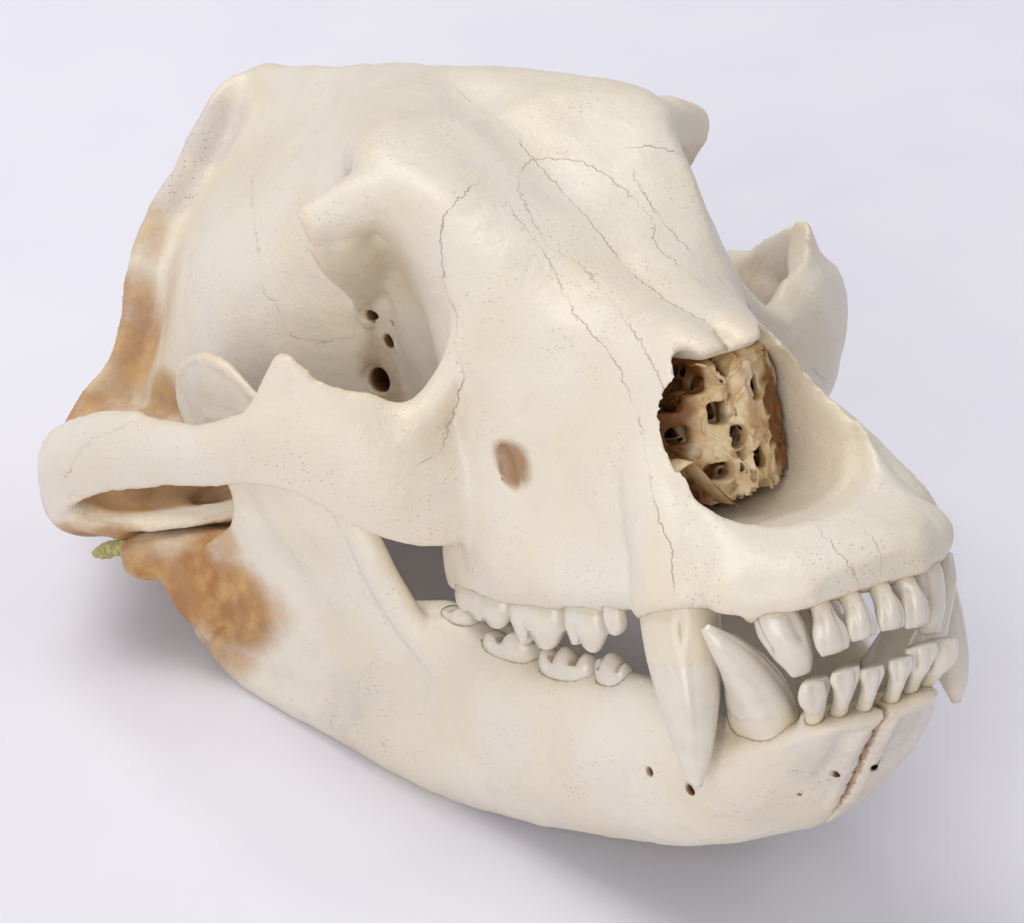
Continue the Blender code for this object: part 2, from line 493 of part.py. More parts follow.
def cheek_tooth_rings(spec, sign, clearance=0.0):
    """Rings of a low broad tooth: root end, gum, widest line and the cusped edge."""
    x, y, gum, length, width, crown, root, turn, cusps = spec
    down = -1 if gum > -15 else 1
    heading = math.radians(turn)
    angles = np.linspace(0, 2 * math.pi, CHEEK_TOOTH_POINTS, endpoint=False)
    outer = np.sign(np.cos(angles)) * np.abs(np.cos(angles)) ** 0.7 * width / 2
    along = np.sign(np.sin(angles)) * np.abs(np.sin(angles)) ** 0.7 * length / 2
    edge = np.full(len(angles), 0.25)
    for where, height in cusps:
        away = np.degrees(np.abs(np.angle(np.exp(1j * (angles - math.radians(where))))))
        edge = np.maximum(edge, height * (1 - 0.75 * np.minimum(away / 34, 1)))
    levels = ((-root, 0.6, 0.72), (0.0, 0.88, 0.92), (0.45 * crown, 1.0, 1.0))
    rings = []
    for level, wide, long in levels:
        rings.append((outer * wide, along * long, np.full(len(angles), level)))
    rings.append((outer * 0.72, along * 0.86, crown * (0.45 + 0.55 * edge)))
    result = []
    for index, (across, lengthways, height) in enumerate(rings):
        reach = np.hypot(across, lengthways)
        across = across * (1 + clearance / reach)
        lengthways = lengthways * (1 + clearance / reach)
        height = height + (-clearance if index == 0 else clearance if index == 3 else 0)
        px = x + across * math.cos(heading) + lengthways * math.sin(heading)
        py = y - across * math.sin(heading) + lengthways * math.cos(heading)
        result.append(np.column_stack((px * sign, py, gum + down * height)))
    return result


def build_tooth(name, sign, collection, pose, clearance=0.0):
    bm = bmesh.new()
    if name in FRONT_TEETH:
        stations = mirrored(FRONT_TEETH[name], sign)
        loft(bm, oval_rings(grown(stations, clearance), FRONT_TOOTH_SIDES, 1))
    else:
        loft(bm, cheek_tooth_rings(CHEEK_TEETH[name], sign, clearance))
    tooth = object_from(bm, name, collection)
    tooth.parent = pose
    return tooth


def block(name, middle, size, collection):
    """A box cutter, placed and sized in millimetres."""
    bm = bmesh.new()
    scale = Matrix.Diagonal((*(length * MM for length in size), 1))
    bmesh.ops.create_cube(bm, size=1, matrix=Matrix.Translation(Vector(middle) * MM) @ scale)
    thing = object_from(bm, name, collection)
    thing.hide_render = True
    thing.display_type = "WIRE"
    return thing


def join_meshes(things, name, collection):
    bm = bmesh.new()
    for thing in things:
        bm.from_mesh(thing.data)
        bpy.data.objects.remove(thing, do_unlink=True)
    return object_from(bm, name, collection)


def main():
    skull = bpy.data.collections.new("bear_skull")
    cutters = bpy.data.collections.new("cutters")
    bpy.context.scene.collection.children.link(skull)
    bpy.context.scene.collection.children.link(cutters)

    pose = bpy.data.objects.new("skull_pose", None)
    skull.objects.link(pose)
    pose.rotation_euler = (math.radians(-SKULL_PITCH), 0, 0)
    pose.location = (0, -FRONT_TO_CENTRE * MM, GROUND_DROP * MM)

    bone = material("ivory_bone", (0.78, 0.70, 0.57), 0.5)
    enamel = material("enamel", (0.82, 0.79, 0.73), 0.25, 0.4)
    dried = material("dried_tissue", (0.55, 0.50, 0.25), 0.7)

    cranium = build_cranium(skull, cutters, pose)
    cranium.data.materials.append(bone)
    mandibles = {}
    for side, sign in SIDES.items():
        mandibles[side] = build_mandible("mandible_" + side, sign, skull, cutters, pose)
        mandibles[side].data.materials.append(bone)

    bones = {"upper": {"right": cranium, "left": cranium}, "lower": mandibles}
    for side, sign in SIDES.items():
        for jaw in ("upper", "lower"):
            row = [name for name in (*FRONT_TEETH, *CHEEK_TEETH) if name.startswith(jaw)]
            for name in row:
                tooth = build_tooth(name, sign, skull, pose)
                tooth.name = tooth.data.name = name + "_" + side
                tooth.data.materials.append(enamel)
            # The sockets of neighbours touch, so every other one is cut at a time
            for first in (0, 1):
                wider = [build_tooth(name, sign, cutters, pose, TOOTH_CLEARANCE) for name in row[first::2]]
                sockets = join_meshes(wider, "_".join((jaw, side, "sockets", str(first))), cutters)
                as_cutter(sockets, pose)
                add_boolean(bones[jaw][side], sockets.name, sockets)

    ground = block("ground", (0, 0, -GROUND_BLOCK / 2), (GROUND_BLOCK,) * 3, cutters)
    for mandible in mandibles.values():
        add_boolean(mandible, "flat_rest", ground)

    bm = bmesh.new()
    loft(bm, oval_rings(TISSUE_SCRAP, sides=8, steps=2))
    scrap = object_from(bm, "tissue_scrap", skull)
    scrap.parent = pose
    scrap.data.materials.append(dried)


main()
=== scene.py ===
# Bear skull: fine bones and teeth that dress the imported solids.
# Everything is shaped in the skull's own frame, in millimetres: x to its left, y to its back,
# z up, from the point between the first upper incisors at the level of the tooth row.
# One matrix then pitches the skull nose-up on to the ground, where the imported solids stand.
import math

import bmesh
import bpy
import numpy as np
from mathutils import Matrix, Vector, noise


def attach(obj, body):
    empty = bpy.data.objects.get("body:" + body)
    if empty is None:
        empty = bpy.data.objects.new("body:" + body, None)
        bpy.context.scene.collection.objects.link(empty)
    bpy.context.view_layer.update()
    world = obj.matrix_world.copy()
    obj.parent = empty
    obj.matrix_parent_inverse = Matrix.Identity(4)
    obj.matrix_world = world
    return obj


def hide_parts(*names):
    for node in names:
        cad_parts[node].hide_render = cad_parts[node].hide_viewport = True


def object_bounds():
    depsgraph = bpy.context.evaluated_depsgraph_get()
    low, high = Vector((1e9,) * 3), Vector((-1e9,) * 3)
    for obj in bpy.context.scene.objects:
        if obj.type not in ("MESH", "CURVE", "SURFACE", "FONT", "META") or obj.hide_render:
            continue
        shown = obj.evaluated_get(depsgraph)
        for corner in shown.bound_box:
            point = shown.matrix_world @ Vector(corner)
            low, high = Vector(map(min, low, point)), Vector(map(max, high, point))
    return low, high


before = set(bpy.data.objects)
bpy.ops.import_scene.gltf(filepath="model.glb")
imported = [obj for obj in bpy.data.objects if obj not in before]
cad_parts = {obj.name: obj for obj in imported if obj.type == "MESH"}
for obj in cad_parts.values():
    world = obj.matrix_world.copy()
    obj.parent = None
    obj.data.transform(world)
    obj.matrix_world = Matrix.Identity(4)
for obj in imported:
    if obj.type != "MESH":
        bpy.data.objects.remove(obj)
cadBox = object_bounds()

pose = {
    "pitch": 20.8,            # nose-up turn, degrees
    "frontToCentre": 171.9,   # from the first incisors back to the middle of the box, mm
    "lift": 125.0,            # height of the skull's own origin, mm
}
sides = {"right": -1, "left": 1}
skullToGround = (Matrix.Translation((0, -pose["frontToCentre"] / 1000, pose["lift"] / 1000))
                 @ Matrix.Rotation(math.radians(-pose["pitch"]), 4, "X") @ Matrix.Scale(0.001, 4))

# The camera stands where the photograph was taken from, in the skull's frame
camera = {
    "place": (-484.62, -832.98, 246.50),
    "right": (0.87475, -0.45291, -0.17228),
    "down": (-0.24386, -0.10422, -0.96419),
    "lens": 137.74,           # mm
    "sensor": 36,             # mm
    "photoSize": (1024, 923),
}


# Paths, rings and skins
def smoothPath(points, steps, closed=False):
    points = np.asarray(points, dtype=float)
    count = len(points)
    result = []
    for span in range(count if closed else count - 1):
        if closed:
            before, start, end, after = (points[(span + k) % count] for k in (-1, 0, 1, 2))
        else:
            start, end = points[span], points[span + 1]
            before = points[span - 1] if span > 0 else 2 * start - end
            after = points[span + 2] if span + 2 < count else 2 * end - start
        for step in range(steps):
            t = step / steps
            result.append(0.5 * (2 * start + (end - before) * t
                                 + (2 * before - 5 * start + 4 * end - after) * t ** 2
                                 + (3 * start - before - 3 * end + after) * t ** 3))
    if not closed:
        result.append(points[-1])
    return np.array(result)


def roundAngles(count):
    return np.linspace(0, 2 * math.pi, count, endpoint=False)


def boxy(values, power):
    # Sines and cosines of a circle, or of a boxier ring when the power is under 1
    return np.sign(values) * np.abs(values) ** power


def ovalRings(stations, around=28, steps=6, power=1.0, turn=0.0, grooves=()):
    # Ovals square to a smooth path; a power under 1 makes them boxier. Each groove is its angle
    # and width in degrees, its depth as a share of the radius, and where along the path it lies.
    path = smoothPath(stations, steps)
    centres = path[:, :3]
    tangents = np.gradient(centres, axis=0)
    tangents /= np.linalg.norm(tangents, axis=1)[:, None]
    upright = abs(tangents[:, 2]).mean() > 0.75
    upAxis = np.array((0.0, 1.0, 0.0)) if upright else np.array((0.0, 0.0, 1.0))
    angles = roundAngles(around)
    across, along = boxy(np.cos(angles), power), boxy(np.sin(angles), power)
    rings = []
    rows = zip(centres, tangents, path[:, 3], path[:, 4])
    for index, (centre, tangent, width, height) in enumerate(rows):
        side = np.cross(tangent, upAxis)
        side /= np.linalg.norm(side)
        up = np.cross(side, tangent)
        shrink = np.ones(around)
        share = index / (len(path) - 1)
        for angle, breadth, depth, start, end in grooves:
            off = (np.degrees(angles) - angle + 180) % 360 - 180
            lies = ease((share - start) / 0.12) * ease((end - share) / 0.12)
            shrink -= depth * lies * np.exp(-(off / breadth) ** 2)
        u, v = max(width, 0.3) * across * shrink, max(height, 0.3) * along * shrink
        if turn:
            cosine, sine = math.cos(math.radians(turn)), math.sin(math.radians(turn))
            u, v = u * cosine - v * sine, u * sine + v * cosine
        rings.append(centre + np.outer(u, side) + np.outer(v, up))
    return rings


def mirrored(stations, sign):
    return [(station[0] * sign, *station[1:]) for station in stations]


def grown(stations, clearance):
    result = np.array(stations, dtype=float)
    for end, inner in ((0, 1), (-1, -2)):
        outward = result[end, :3] - result[inner, :3]
        result[end, :3] += outward / np.linalg.norm(outward) * clearance
    result[:, 3:] += clearance
    return result


def skin(mesh, rings):
    rows = [[mesh.verts.new(point) for point in ring] for ring in rings]
    count = len(rows[0])
    for low, high in zip(rows, rows[1:]):
        for i in range(count):
            j = (i + 1) % count
            mesh.faces.new((low[i], low[j], high[j], high[i]))
    for row in (rows[0][::-1], rows[-1]):
        middle = mesh.verts.new(sum((vertex.co for vertex in row), Vector()) / count)
        for i in range(count):
            mesh.faces.new((row[i], row[(i + 1) % count], middle))


def sweep(mesh, stations, sign=1, **settings):
    skin(mesh, ovalRings(mirrored(stations, sign), **settings))


def sectionRings(sections, steps):
    rings = []
    for y, half in sections:
        left = [(x, y, z) for x, z in half]
        right = [(-x, y, z) for x, z in half[-2:0:-1]]
        rings.append(smoothPath(left + right, steps, closed=True))
    return alongSkull(rings, steps)


def alongSkull(rings, steps):
    flat = smoothPath([ring.ravel() for ring in rings], steps)
    return [row.reshape(-1, 3) for row in flat]


def ballRings(centre, radii, around=32, rows=20):
    rings = []
    angles = roundAngles(around)
    for row in range(1, rows):
        polar = math.pi * row / rows
        rings.append(np.stack((centre[0] + radii[0] * math.sin(polar) * np.cos(angles),
                               centre[1] + radii[1] * math.sin(polar) * np.sin(angles),
                               np.full(around, centre[2] + radii[2] * math.cos(polar))), axis=1))
    return rings


pitBuild = {
    "mouthReach": 9,       # how far a mouth may be moved to meet the bone, mm
    "mouthMargin": 1.2,    # mm
    # Place along the axis in mm and width as a share of the radius, down to the middle
    "profile": ((-4, 1.6), (-0.9, 1.4), (0.2, 1.15), (1.8, 0.98)),
    "lowerWidths": (0.9, 0.7),
}


def cutPits(bone, pits, sign):
    # Round holes that open a little at the mouth: (middle of the mouth, inwards, radius, depth).
    # Each mouth is first moved along the hole's axis on to the bone's surface.
    points = places(bone) * (sign, 1, 1)
    normals = outwards(bone) * (sign, 1, 1)
    mesh = bmesh.new()
    placed = []
    for middle, inward, radius, depth in pits:
        inward = np.array(inward) / np.linalg.norm(inward)
        reach, away = alongAxis(points, middle, inward)
        mouth = (away < radius + pitBuild["mouthMargin"]) & (abs(reach) < pitBuild["mouthReach"])
        mouth &= normals @ inward < -0.2
        if mouth.any():
            middle = np.array(middle) + inward * np.median(reach[mouth])
        profile = (*pitBuild["profile"], *zip((0.5 * depth, depth), pitBuild["lowerWidths"]))
        stations = [(*(np.array(middle) + inward * along), radius * wide, radius * wide)
                    for along, wide in profile]
        sweep(mesh, stations, sign, around=20, steps=4)
        placed.append((middle, inward, radius, depth))
    cut(bone, objectFrom(mesh, "pits"))
    return placed


def alongAxis(points, middle, inward):
    # How far along an axis each point lies, and how far off it
    offset = points - np.array(middle)
    reach = offset @ inward
    return reach, np.linalg.norm(offset - np.outer(reach, inward), axis=1)


def newObject(name, data):
    thing = bpy.data.objects.new(name, data)
    bpy.context.scene.collection.objects.link(thing)
    return thing


def objectFrom(mesh, name):
    bmesh.ops.recalc_face_normals(mesh, faces=mesh.faces)
    data = bpy.data.meshes.new(name)
    mesh.to_mesh(data)
    mesh.free()
    return newObject(name, data)


# Modifiers are added, then settled into the mesh
def modify(thing, kind, **settings):
    modifier = thing.modifiers.new(kind.lower(), kind)
    for name, value in settings.items():
        setattr(modifier, name, value)


def settle(thing):
    bpy.context.view_layer.update()
    evaluated = thing.evaluated_get(bpy.context.evaluated_depsgraph_get())
    made = bpy.data.meshes.new_from_object(evaluated)
    old = thing.data
    thing.modifiers.clear()
    thing.data = made
    made.name = thing.name
    bpy.data.meshes.remove(old)
    return thing


def fuse(thing, voxel, smoothing):
    modify(thing, "REMESH", mode="VOXEL", voxel_size=voxel)
    modify(thing, "SMOOTH", factor=0.5, iterations=smoothing)
    return settle(thing)


def cut(thing, cutter):
    modify(thing, "BOOLEAN", operation="DIFFERENCE", solver="MANIFOLD", object=cutter)
    settle(thing)
    bpy.data.objects.remove(cutter, do_unlink=True)


def thin(thing, triangles):
    thing.data.calc_loop_triangles()
    now = len(thing.data.loop_triangles)
    if now > triangles:
        modify(thing, "DECIMATE", ratio=triangles / now, use_collapse_triangulate=True)
        settle(thing)


def places(thing, kind="co"):
    flat = np.empty(len(thing.data.vertices) * 3)
    thing.data.vertices.foreach_get(kind, flat)
    return flat.reshape(-1, 3)


def outwards(thing):
    return places(thing, "normal")


def moveTo(thing, points):
    thing.data.vertices.foreach_set("co", np.ascontiguousarray(points, dtype=np.float32).ravel())
    thing.data.update()


def keepValue(thing, name, values):
    values = np.asarray(values, dtype=np.float32)
    kind = "FLOAT_VECTOR" if values.ndim == 2 else "FLOAT"
    attribute = thing.data.attributes.new(name, kind, "POINT")
    attribute.data.foreach_set("vector" if values.ndim == 2 else "value", values.ravel())


def ease(values):
    values = np.clip(values, 0, 1)
    return values * values * (3 - 2 * values)


def awayFromPath(points, path):
    # Distance from each point to a path, smoothed where it has a bend
    path = smoothPath(path, 4) if len(path) > 2 else np.asarray(path, dtype=float)
    best = np.full(len(points), 1e9)
    for start, end in zip(path, path[1:]):
        stretch = end - start
        share = np.clip((points - start) @ stretch / (stretch @ stretch), 0, 1)
        best = np.minimum(best, np.linalg.norm(points - start - share[:, None] * stretch, axis=1))
    return best


def flipsTo(side, points):
    return np.where(points[:, :1] * sides[side] < 0, (-1, 1, 1), (1, 1, 1))


def folded(points):
    # Both halves of the skull are shaped alike: every point as if it were on the left
    return points * flipsTo("left", points)


def dots(first, second):
    return np.einsum("ij,ij->i", first, second)


def sculpt(thing, strokes):
    # Each stroke pushes the surface out or in near its path, in millimetres
    points = places(thing)
    normals = outwards(thing)
    half = folded(points)
    push = np.zeros(len(points))
    for path, radius, height in strokes.values():
        push += height * ease(1 - awayFromPath(half, path) / radius)
    moveTo(thing, points + normals * push[:, None])


def soften(thing, paths, steps):
    # Rounds the surface near each path; (path, radius) in millimetres
    half = folded(places(thing))
    weights = np.zeros(len(half))
    for path, radius in paths.values():
        weights = np.maximum(weights, ease(1.4 - 1.4 * awayFromPath(half, path) / radius))
    group = thing.vertex_groups.new(name="soft")
    for level in range(1, 11):
        chosen = np.nonzero(np.round(weights * 10) == level)[0]
        group.add(chosen.tolist(), level / 10, "REPLACE")
    modify(thing, "SMOOTH", factor=0.5, iterations=steps, vertex_group="soft")
    settle(thing)
    thing.vertex_groups.clear()


def neighbourMean(thing, values, rounds):
    edges = np.empty(len(thing.data.edges) * 2, dtype=int)
    thing.data.edges.foreach_get("vertices", edges)
    first, second = edges.reshape(-1, 2).T
    count = np.bincount(edges, minlength=len(values)).astype(float)
    for _ in range(rounds):
        total = np.zeros_like(values)
        for axis in range(values.shape[1]):
            total[:, axis] = (np.bincount(first, values[second, axis], len(values))
                              + np.bincount(second, values[first, axis], len(values)))
        values = (values + total / np.maximum(count, 1)[:, None]) / 2
    return values


# Rounds of averaging over neighbours
formRounds = {"near": 8, "wide": 60}


def keepForm(thing, pits=()):
    # How far each point stands proud of its neighbourhood, near and wide, in mm; and how deep
    # it lies in one of the round holes, as a share
    points = places(thing)
    normals = outwards(thing)
    dark = np.zeros(len(points))
    flip = flipsTo("left", points)
    for middle, inward, radius, depth in pits:
        reach, away = alongAxis(points * flip, middle, inward)
        wall = ((normals * flip) @ inward > -0.55) | (reach > depth * 0.6)
        inside = wall * (away < radius * 1.3) * (reach < depth + 1)
        dark = np.maximum(dark, ease((reach + 0.4) / 5) * inside)
    near = neighbourMean(thing, points, formRounds["near"])
    wide = neighbourMean(thing, near, formRounds["wide"])
    proud, proudWide = dots(points - near, normals), dots(points - wide, normals)
    keepValue(thing, "form", np.column_stack((proud, proudWide, dark)))


def roughen(thing, layers, seed):
    # Uneven growth of the bone: a few layers of soft noise, (size, height) in millimetres
    points = places(thing)
    normals = outwards(thing)
    push = np.zeros(len(points))
    for size, height in layers:
        shift = Vector((seed * 17.3, size * 3.1, seed * 5.7))
        waves = (noise.noise(Vector(point) / size + shift) for point in points)
        push += height * np.fromiter(waves, float, len(points))
    moveTo(thing, points + normals * push[:, None])


# Cranium: cross-sections of the body from the front teeth to the occiput.
# Each is its y and its left half, (half-width, height) from the top midline to the bottom.
cranium = {
    "voxel": 1.3,
    "hollowVoxel": 0.9,
    "smoothing": {"shell": 5, "hollows": 2, "bone": 2},    # rounds
    "softening": 40,
    "triangles": 190000,
    "sections": (
        (-3, ((0, 8), (6, 8), (11, 7.5), (14.5, 6.5), (16.5, 5), (17.5, 3.5), (17, 2), (15, 0.8), (11, 0.3),
              (5, 0.5), (0, 0.8))),
        (3, ((0, 13), (8, 13), (15, 12.5), (20, 11), (23, 8), (25, 5), (25, 2), (22, -0.5), (16, 0), (8, 3),
             (0, 4))),
        (12, ((0, 17), (9, 17), (18, 16.5), (25, 15.5), (31, 12), (35, 8), (36, 4), (33, 0.5), (24, 3),
              (10, 6), (0, 7))),
        (24, ((0, 21), (9, 21.5), (18, 22.5), (26, 22.5), (30, 18), (33.5, 12), (36, 7), (36.5, 2), (30, 1),
              (14, 7), (0, 8))),
        (33, ((0, 33), (10, 33.5), (19, 34.5), (26, 34), (29.5, 27), (34, 17), (38.5, 8), (40, 1), (32, 0),
              (14, 7), (0, 8))),
        (43, ((0, 47), (9, 47.5), (17, 47.5), (23, 46), (26.5, 38), (31.5, 26), (37.5, 14), (42, -1),
              (33, -2), (14, 6), (0, 7))),
        (52, ((0, 62), (7, 62.8), (12.5, 62), (19, 55), (25, 43.5), (31.5, 30), (37.5, 14), (42, 1),
              (33, -3), (14, 5), (0, 6))),
        (66, ((0, 67), (8, 67.5), (15, 65), (20, 60), (26, 49), (31.5, 35), (37.5, 16), (42.5, -0.5),
              (34, -5), (15, 4), (0, 5.5))),
        (84, ((0, 72), (9, 72.5), (17, 70), (25, 64.5), (30, 53), (35, 38), (40.5, 17), (44.5, -2.5),
              (34, -7), (15, 3), (0, 5))),
        (100, ((0, 79), (11, 80), (21, 78), (30, 73), (35, 60), (39, 44), (43.5, 20), (46.5, -4.5),
               (34, -8), (15, 3), (0, 4.5))),
        (112, ((0, 87), (13, 88.5), (25, 89), (33.5, 86), (37.5, 75), (42, 58), (45.5, 30), (47, -5),
               (34, -8.5), (15, 3), (0, 4.5))),
        (122, ((0, 94.5), (14, 96.5), (28, 98.5), (37, 96), (39.8, 87), (43.2, 70), (46.5, 40), (47, -4),
               (34, -8.5), (15, 3), (0, 4))),
        (132, ((0, 101), (16, 103.5), (31, 107.5), (40, 105.5), (42, 94), (41.5, 72), (44.5, 42),
               (47, -3.5), (34, -8.5), (15, 3), (0, 4))),
        (146, ((0, 110), (18, 112.5), (34, 115.8), (45.5, 112.5), (46, 98), (39.5, 76), (39.5, 42),
               (46.5, -3), (34, -8.5), (15, 3), (0, 4))),
        (158, ((0, 117), (17, 119.8), (34, 120.8), (46.5, 115.5), (45, 99), (36, 77), (33.5, 46), (43, -5),
               (32, -8), (14, 3), (0, 4))),
        (172, ((0, 121.5), (15, 123.6), (31, 123.8), (43, 115.5), (41, 99), (32.5, 79), (28.5, 48), (28, 6),
               (24, -4), (12, 3), (0, 5))),
        (186, ((0, 126.4), (13, 127.8), (27, 125), (37.5, 113), (37.5, 98), (32, 79), (28, 50), (23, 24),
               (20, 0), (12, 2), (0, 8))),
        (202, ((0, 129.6), (11, 129.4), (22, 124.4), (32, 112), (35, 98), (34, 78), (29, 54), (24, 34),
               (20, 24), (10, 24), (0, 24))),
        (218, ((0, 131), (8, 130.2), (17, 124.4), (28, 112), (37, 97), (41, 78), (40, 58), (34, 38),
               (26, 26), (12, 23), (0, 23))),
        (236, ((0, 132), (5, 130.3), (12, 123.2), (25, 111), (38, 96), (47, 78), (48, 58), (44, 38),
               (34, 26), (14, 22), (0, 22))),
        (256, ((0, 131.8), (3.5, 129.3), (9, 120.8), (24, 109), (40, 95), (51, 77), (55, 57), (53, 37),
               (42, 24), (16, 20), (0, 20))),
        (278, ((0, 130.5), (3.5, 127.5), (9, 119), (24, 108), (41, 93), (53, 76), (58, 57), (60, 38),
               (50, 22), (20, 18), (0, 18))),
        (300, ((0, 130.5), (3.5, 127), (9, 118), (23, 106), (38, 92), (50, 76), (57, 57), (63, 40),
               (60, 22), (26, 16), (0, 17))),
        (316, ((0, 131), (4.5, 127), (10, 117.5), (20, 106), (34, 93), (45, 77), (52, 58), (61, 42),
               (64, 24), (28, 16), (0, 18))),
        (328, ((0, 130), (7, 125.5), (13, 116), (21, 104), (33, 91), (43, 77), (49, 58), (57, 42), (60, 26),
               (28, 18), (0, 20))),
        (337, ((0, 122), (7, 117), (13, 108), (20, 97), (29, 86), (38, 73), (43, 57), (48, 42), (48, 28),
               (26, 22), (0, 24))),
    ),
    # Limbs are swept ovals: (x, y, z, half-width across, half-height up) at each station
    "limbs": {
        "cheekArch": (
            (34, 128, 26, 9, 12), (45, 129, 28, 9, 19), (57, 129.5, 31, 8, 20), (69, 132, 36, 6.5, 18.5),
            (80, 138, 42, 5.5, 16), (90, 147.5, 44.5, 5, 12.5), (95.5, 160, 44, 4.8, 10),
            (99, 178, 41.4, 4.8, 9.4), (102, 200, 40.6, 5, 10), (105.5, 226, 39.8, 5.2, 12),
            (109.5, 250, 36, 5.2, 12), (112, 266, 31, 5.5, 11.5), (110, 277, 22, 6, 10),
            (101, 280.5, 13, 7, 8), (86, 280, 13, 8, 7), (72, 280, 17, 9, 9), (58, 280, 22, 9, 10)),
        "cheekHorn": ((85.5, 149, 42, 4.2, 19), (84.5, 148, 49, 4.6, 15.5), (83, 146.5, 56, 5, 12),
                      (81.5, 145, 63, 4.8, 8.8), (80.8, 144.2, 67, 4.4, 7.2), (80.5, 144, 69.4, 3.6, 6)),
        "orbitSill": ((43, 121.5, 68, 2.5, 4), (45, 122.5, 60, 3.6, 5), (48.5, 124, 53.5, 4.5, 6),
                      (53, 125.5, 48.5, 5, 6.5), (60, 128, 44, 5.5, 7)),
        "hornWeb": ((62, 130, 42, 5, 9), (70, 133.5, 46, 4.8, 11), (76, 138, 52, 4.4, 9),
                    (79.5, 141, 59, 4, 6.5)),
        "browHorn": ((33, 150, 106, 16, 10), (44, 155, 105, 12, 9), (53, 159, 102.6, 8.5, 8),
                     (59.5, 162, 100, 6.6, 7.2), (63.4, 163.4, 98.8, 4.8, 6.2)),
        "browFill": ((54, 160, 96, 4, 5), (49, 167, 93, 6.5, 7), (43, 175, 89, 7, 8), (37, 184, 85, 7, 8),
                     (31, 193, 80, 6, 8)),
        "browWeb": ((61, 163.5, 95, 3, 3.4), (55, 169.5, 90, 4.4, 5), (47.5, 177.5, 84.5, 5.4, 6.4),
                    (40, 188, 78, 5, 6), (35, 198, 71, 3.4, 5), (33, 205, 64, 2.6, 4)),
        "canineBulge": ((34, 35.5, -0.5, 11.6, 14.8), (33.2, 37, 6, 11, 15), (31.5, 41, 14, 9.6, 14),
                        (28.8, 48, 24, 8, 11.5), (25, 58, 34, 6.5, 9), (22, 68, 42, 3, 4)),
        "nuchalCrest": (
            (0, 328, 122, 4.5, 8.5), (10, 328, 119, 4.2, 9), (19, 327, 110, 3.8, 9), (29, 327, 98, 3.6, 9),
            (40, 328, 87, 3.6, 9), (49, 328, 74, 4, 8.6), (54, 328, 59, 3.6, 9), (63, 327, 43, 3.8, 9.5),
            (75, 327, 33, 4.2, 10), (84, 325, 26, 4.8, 9)),
        "templeShelf": ((95, 281, 20, 15, 5), (82, 293, 26, 20, 6), (75, 307, 29, 18, 6.5),
                        (74, 321, 30, 13, 6)),
        "mastoid": ((72, 312, 34, 12, 9), (78, 310, 16, 9, 8), (79, 309, 5, 7, 6.5), (79, 309, 0, 5, 4.5)),
        "jugularProcess": ((46, 326, 20, 9, 7), (52, 328, 8, 6, 6), (54, 329, -1, 5, 5),
                           (54.5, 329, -5.5, 4, 4)),
        "neckKnob": ((9, 330, 22, 6, 7), (17, 340, 24, 7, 8), (22, 344, 33, 7, 9), (21, 341, 44, 6, 7),
                     (17, 336, 50, 3, 4)),
        "earBulla": ((22, 272, 14, 7, 6), (33, 282, 11, 13, 10), (44, 289, 12, 12, 9), (58, 290, 16, 8, 8),
                     (76, 288, 20, 6, 7)),
        "jointShelf": ((42, 267, 7, 13, 4.6), (60, 264, 4.8, 13, 3.2), (80, 266, 6.4, 12.6, 4),
                       (98, 271, 10.5, 10.5, 4.6), (107, 275.5, 15, 8.5, 5)),
        "jointLip": ((58, 266, 4, 4, 3.4), (70, 268.5, 5, 4, 4.6), (84, 273, 7, 4, 6.4),
                     (96, 278, 9, 4, 6)),
        "jointBack": ((44, 277, 12, 7, 9), (60, 281, 13, 7, 9), (76, 283, 14, 7, 8)),
        "pterygoidPlate": ((25, 172, 4, 5, 9), (22.5, 190, 10, 2.8, 15), (21, 210, 11, 2.6, 16),
                           (20, 226, 9, 2.6, 15), (19, 238, 6, 2.4, 12), (18.5, 243, 0, 1.8, 6)),
        "nasalLobe": ((6.5, 64, 64, 6.5, 4), (6.8, 56, 62.6, 6.2, 3), (6.2, 51, 61.2, 5.4, 2.4),
                      (5.4, 48, 59.8, 4.2, 2), (4.8, 46, 59, 2.2, 1.4)),
    },
    # The left cheek arch stands higher behind its horn, as in the photograph
    "leftLimbs": {
        "archCrest": ((84, 150, 56, 3, 12), (90, 163, 56, 2.4, 10.5), (95, 178, 54, 2.2, 9.6),
                      (99, 196, 51, 2.2, 8), (102, 214, 46, 2.4, 6), (104, 226, 42, 3, 5)),
        "browKnob": ((50, 158, 105.8, 9, 8.6), (58, 161.6, 103, 7, 7.4), (64.2, 163.6, 100.2, 5, 6.4)),
    },
    "lobeSlit": ((0, 41, 57.5, 0.9, 5.5), (0, 47, 60.5, 0.8, 5), (0, 53, 64, 0.5, 3),
                 (0, 58, 66.5, 0.3, 1)),
    "turns": {"cheekHorn": 42},      # degrees round the limb's own length
    "powers": {"noseCavity": 0.68},  # under 1 makes a hollow boxier
    "middleHollows": {
        "noseCavity": (
            (0, 2, 46, 17, 20), (0, 14, 42, 22.5, 24), (0, 24, 40.5, 26, 24), (0, 33, 38.5, 27.5, 24),
            (0, 40, 37.5, 26.5, 23.5), (0, 47, 36, 24.4, 22.6), (0, 58, 36.5, 22.4, 21.4),
            (0, 72, 37.5, 21.5, 21.5), (0, 88, 38.5, 20.5, 22), (0, 106, 40, 17, 19), (0, 117, 40, 9, 9)),
        "spineHole": ((0, 360, 34, 15, 12), (0, 338, 36, 13.5, 11.5), (0, 320, 40, 15, 13),
                      (0, 300, 46, 22, 18), (0, 284, 50, 8, 8)),
        "throat": ((0, 178, 12, 13, 6), (0, 190, 13, 15, 9), (0, 206, 14, 16, 11), (0, 226, 12, 16, 12),
                   (0, 250, 6, 16, 14)),
    },
    "sideHollows": {
